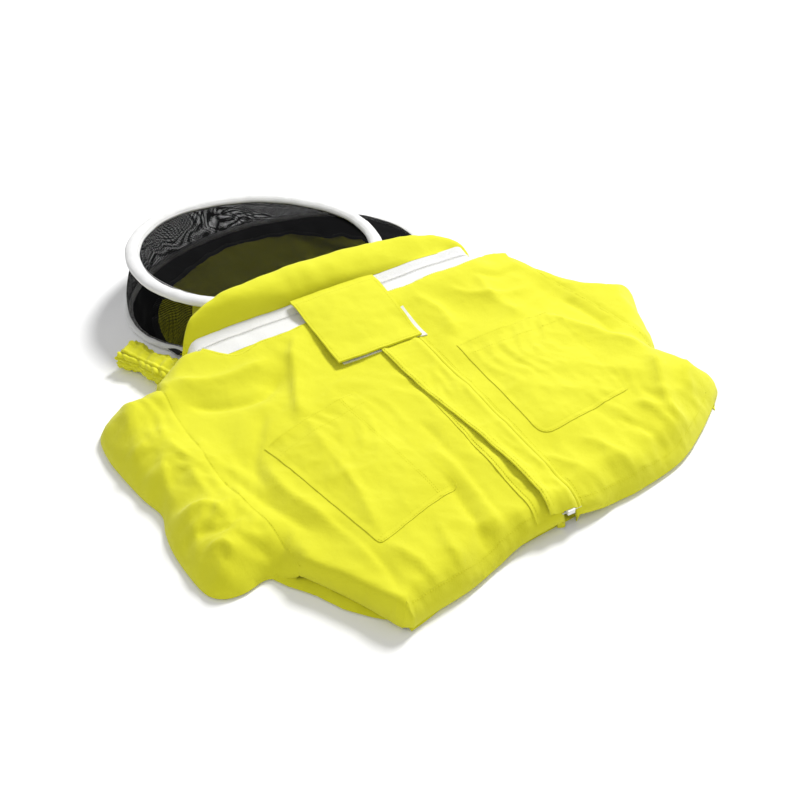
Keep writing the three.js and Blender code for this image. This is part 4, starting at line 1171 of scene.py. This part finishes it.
def add_cuff(side, centre, turn, length, width, height):
    """A gathered, elasticated sleeve end: a flattened tube with deep ruffles."""
    around, stations = 120, 60
    c, s = math.cos(turn), math.sin(turn)
    points = []
    draw = np.random.default_rng(91 if side == "right" else 92)
    phases = draw.uniform(0, 6.28, 4)
    for i in range(stations):
        t = i / (stations - 1)
        neck = 1 - 0.24 * math.exp(-((t - 0.62) / 0.14) ** 2) + 0.02 * t
        for k in range(around):
            a = 2 * math.pi * k / around
            ruffle = (math.sin(13 * a + phases[0] + 1.5 * t) * 0.07 + math.sin(21 * a + phases[1]) * 0.04
                      + math.sin(7 * a + phases[2] - 2 * t) * 0.04) * (0.7 + 0.6 * t)
            ruffle += 0.05 * math.sin(44 * t + 3 * math.sin(3 * a)) + 0.04 * math.sin(27 * t + 5 * a)
            r = neck * (1 + ruffle)
            e = 0.62
            u = math.copysign(abs(math.cos(a)) ** e, math.cos(a)) * width / 2 * r
            v = math.sin(a) * height / 2 * r * (1 + 0.5 * ruffle)
            along = t * length + 1.4 * math.sin(9 * a + phases[3]) * t
            points.append((centre[0] + u * c - along * s, centre[1] + u * s + along * c, max(0.9, centre[2] + v)))
    points = np.array(points)
    faces = grid_faces(stations, around)
    solid, solid_faces = thicken(points, faces, 1.0)
    piece = add_mesh(f"cuff_{side}_cloth", solid, solid_faces, YELLOW, JACKET,
                     nodes=[f"cuff_{side}", f"cuff_elastic_{side}"])
    opening = CUFF_ROUND * (width + height)
    declare(piece, (CUFF_GATHER * opening * MM, length * MM))


add_cuff("right", (-212, 166, 13), math.radians(24), 84, 36, 22)
add_cuff("left", (168, -5, 6.2), math.radians(90), 56, 44, 10.4)

# ---- veil ring -----------------------------------------------------------------------------------
RING = (-29.0, 308.0, 57.0)
SIDE_WALL = 62.0  # the side net's height as cut, mm
RING_X, RING_Y, RING_TILT = 165.0, 140.0, math.radians(6.9)


def ring_plan(turn, grow=0.0):
    """The veil ring in its own plane, flattened on its near side."""
    y = (RING_Y + grow) * np.sin(turn)
    over = np.maximum(0, -y - 80)
    return (RING_X + grow) * np.cos(turn), y + 0.00722 * over * over


def to_ring(x, y, z):
    """From the ring's own plane to the garment's place."""
    c, s = math.cos(RING_TILT), math.sin(RING_TILT)
    return np.stack([RING[0] + x * c + z * s, RING[1] + y, RING[2] - x * s + z * c], -1)


def add_ring():
    turn = np.linspace(0, 2 * math.pi, 220, endpoint=False)
    x, y = ring_plan(turn)
    path = np.c_[x, y, 0.8 * np.sin(3 * turn + 1) + 0.5 * np.sin(7 * turn)]
    sections = []
    for i, t in enumerate(turn):
        pucker = 1 + 0.05 * math.sin(47 * t) + 0.04 * math.sin(31 * t + 2) + 0.03 * math.sin(83 * t)
        s = oval(19.0, 12.0, 18)
        s[:, 1] *= pucker
        s[:, 0] *= 1 + 0.03 * math.sin(19 * t + 1)
        s[s[:, 0] < -6.0, 1] *= 0.72
        sections.append(s)
    local, faces = strip_tube(path, sections, closed=True)
    points = to_ring(local[:, 0], local[:, 1], local[:, 2])
    add_mesh("ring_binding_cloth", points, faces, WHITE, "veil_ring", nodes=["ring_binding"])
    inner_x, inner_y = ring_plan(turn, -7.2)
    row = to_ring(inner_x, inner_y, np.full(len(turn), 4.1))
    stitches("ring_binding_stitch", [np.vstack([row, row[:1]])], WHITE_THREAD, "veil_ring", pitch=3.2,
             length=2.2, radius=0.34)

    radial, around = 30, 180
    points, uv = [], []
    turn = np.linspace(0, 2 * math.pi, around, endpoint=False)
    ex, ey = ring_plan(turn, -6.0)
    for i in range(radial):
        r = 1 - i / radial
        x, y = ex * r, ey * r
        sag = 15 * (1 - r * r) ** 1.1
        wave = 2.4 * perlin(x / 46, y / 46, 101) + 1.2 * perlin(x / 20, y / 20, 102)
        z = -1.5 - sag + wave * step_between(1 - r, 0.02, 0.3)
        points.append(to_ring(x, y, z))
        uv.append(np.c_[x + 3 * perlin(x / 50, y / 50, 103), y])
    points = np.vstack([*points, to_ring(np.zeros(1), np.zeros(1), np.full(1, -16.0))])
    uv = np.vstack([*uv, [[0, 0]]])
    faces = grid_faces(radial, around)
    for k in range(around):
        faces.append(((radial - 1) * around + k, (radial - 1) * around + (k + 1) % around, radial * around))
    mesh = add_mesh("face_net", points, faces, NET, "veil_ring", uv=uv, nodes=["face_mesh"])
    half_x, half_y = RING_X - 6.0, RING_Y - 6.0
    declare(mesh, (2 * half_x * MM, 2 * half_y * MM),
            math.pi * half_x * half_y * MM * MM)


add_ring()


# ---- hood: rear hoop, side net, back -------------------------------------------------------------
HOOP_FROM, HOOP_TO = math.radians(-37), math.radians(217)


def hoop_plan(turn, grow=0.0):
    """The rear hoop's line on the floor."""
    return -2 + (210 + grow) * np.cos(turn), 300 + (145 + grow) * np.sin(turn)


def add_hood():
    turn = np.linspace(HOOP_FROM, HOOP_TO, 150)
    x, y = hoop_plan(turn)
    path = np.c_[x, y, 4.6 + 0.5 * np.sin(9 * turn)]
    sections = []
    for t in turn:
        s = oval(11.0, 7.4, 14)
        s[:, 1] *= 1 + 0.06 * math.sin(37 * t) + 0.05 * math.sin(61 * t + 1)
        sections.append(s)
    points, faces = strip_tube(path, sections)
    add_mesh("rear_hoop_binding_cloth", points, faces, WHITE, "hood", nodes=["rear_hoop_binding"])

    rows_count = 16
    turn = np.linspace(HOOP_FROM, HOOP_TO, 230)
    bx, by = hoop_plan(turn)
    rx, ry = ring_plan(turn)
    top = to_ring(rx, ry, np.full(len(turn), -3.0))
    low = np.c_[bx, by, np.full(len(turn), 6.0)]
    points, uv = [], []
    arc = np.r_[0, np.cumsum(np.hypot(np.diff(bx), np.diff(by)))]
    outward = np.c_[np.cos(turn), np.sin(turn)]
    for i in range(rows_count):
        t = i / (rows_count - 1)
        row = low * (1 - t) + top * t
        swell = math.sin(math.pi * t)
        wave = (6.0 + 5.0 * perlin(arc / 48, np.full(len(arc), t * 1.3), 111)
                + 2.6 * perlin(arc / 17, np.full(len(arc), t * 1.6 + 4), 112)) * swell
        row = row + np.c_[outward * wave[:, None], -2.5 * swell * np.ones(len(turn))]
        points.append(row)
        uv.append(np.c_[arc, np.full(len(arc), t * SIDE_WALL)])
    count = len(turn)
    points, uv = np.vstack(points), np.vstack(uv)
    faces = grid_faces(rows_count, count, wrap=False)
    side = add_mesh("side_net", points, faces, NET, None, uv=uv, nodes=["side_mesh"])
    declare(side,
            (length_of(np.c_[bx, by]) * MM, SIDE_WALL * MM))
    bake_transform(side)

    seam = spline([(-188, 216), (-194, 262), (-176, 318), (-131, 364), (-58, 400), (-3, 408), (60, 393), (120, 350),
                   (160, 300), (178, 250), (180, 216)], 8)

    def back_z(points):
        px, py = points.T
        wx, wy = px + 20 * perlin(px / 70, py / 70, 121), py + 20 * perlin(px / 70, py / 70, 122)
        z = 5.0 + 5.0 * (0.5 - np.abs(perlin(wx / 62, wy / 40, 123)) * 1.7) + 2.4 * (
            0.5 - np.abs(perlin(wx / 28, wy / 50, 124)) * 1.7)
        return np.maximum(1.6, z)

    cloth_panel("hood_back_cloth", [(seam, False), (line(seam[-1], seam[0]), False)], back_z, "hood", COTTON, YELLOW,
                nodes=["hood_back"], step=5.0, rests_on=["rear_hoop_binding_cloth"])
    edge = resample(seam, 4)
    lift = np.c_[edge, back_z(edge) + 0.6]
    points, faces = strip_tube(lift, oval(8.5, 2.6, 10))
    add_mesh("hood_seam_tape_cloth", points, faces, BLACK_TAPE, "hood", nodes=["hood_seam_tape"])
    hx, hy = hoop_plan(np.linspace(HOOP_FROM, HOOP_TO, 90), -4)
    rim = np.c_[hx, hy]
    cloth_panel("hood_back_net", [(rim, False), (line(rim[-1], seam[0]), False), (seam, False),
                                  (line(seam[-1], rim[0]), False)],
                lambda p: 4.5 + 1.5 * perlin(p[:, 0] / 30, p[:, 1] / 30, 125), "hood", "black_net", NET,
                step=6.0, thickness=0.6, uv=True, rests_on=["rear_hoop_binding_cloth"])


add_hood()

# ---- carried-over pieces and floor ---------------------------------------------------------------
FINISHES = {
    "front_slider": METAL, "front_pull": METAL, "hood_slider_right": METAL, "hood_slider_left": METAL,
    "hood_pull_right": METAL, "hood_pull_left": METAL, "front_zip_box": PLASTIC, "ring_wire": STEEL,
    "rear_hoop_wire": STEEL,
}
for name, material in FINISHES.items():
    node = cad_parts[name]
    for slot_of_node in node.material_slots:
        slot_of_node.material = material

floor_mesh = bpy.data.meshes.new("floor")
FLOOR_HALF = 5.0
floor_mesh.from_pydata([(-FLOOR_HALF, -FLOOR_HALF, 0), (FLOOR_HALF, -FLOOR_HALF, 0), (FLOOR_HALF, FLOOR_HALF, 0),
                        (-FLOOR_HALF, FLOOR_HALF, 0)], [], [(0, 1, 2, 3)])
floor_mesh.materials.append(FLOOR)
floor = bpy.data.objects.new("floor", floor_mesh)
bpy.context.scene.collection.objects.link(floor)
floor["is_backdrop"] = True


def plain(box):
    return [[float(v) for v in corner] for corner in box]


{"cad": plain(CAD_BOX), "visual": plain(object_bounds())}
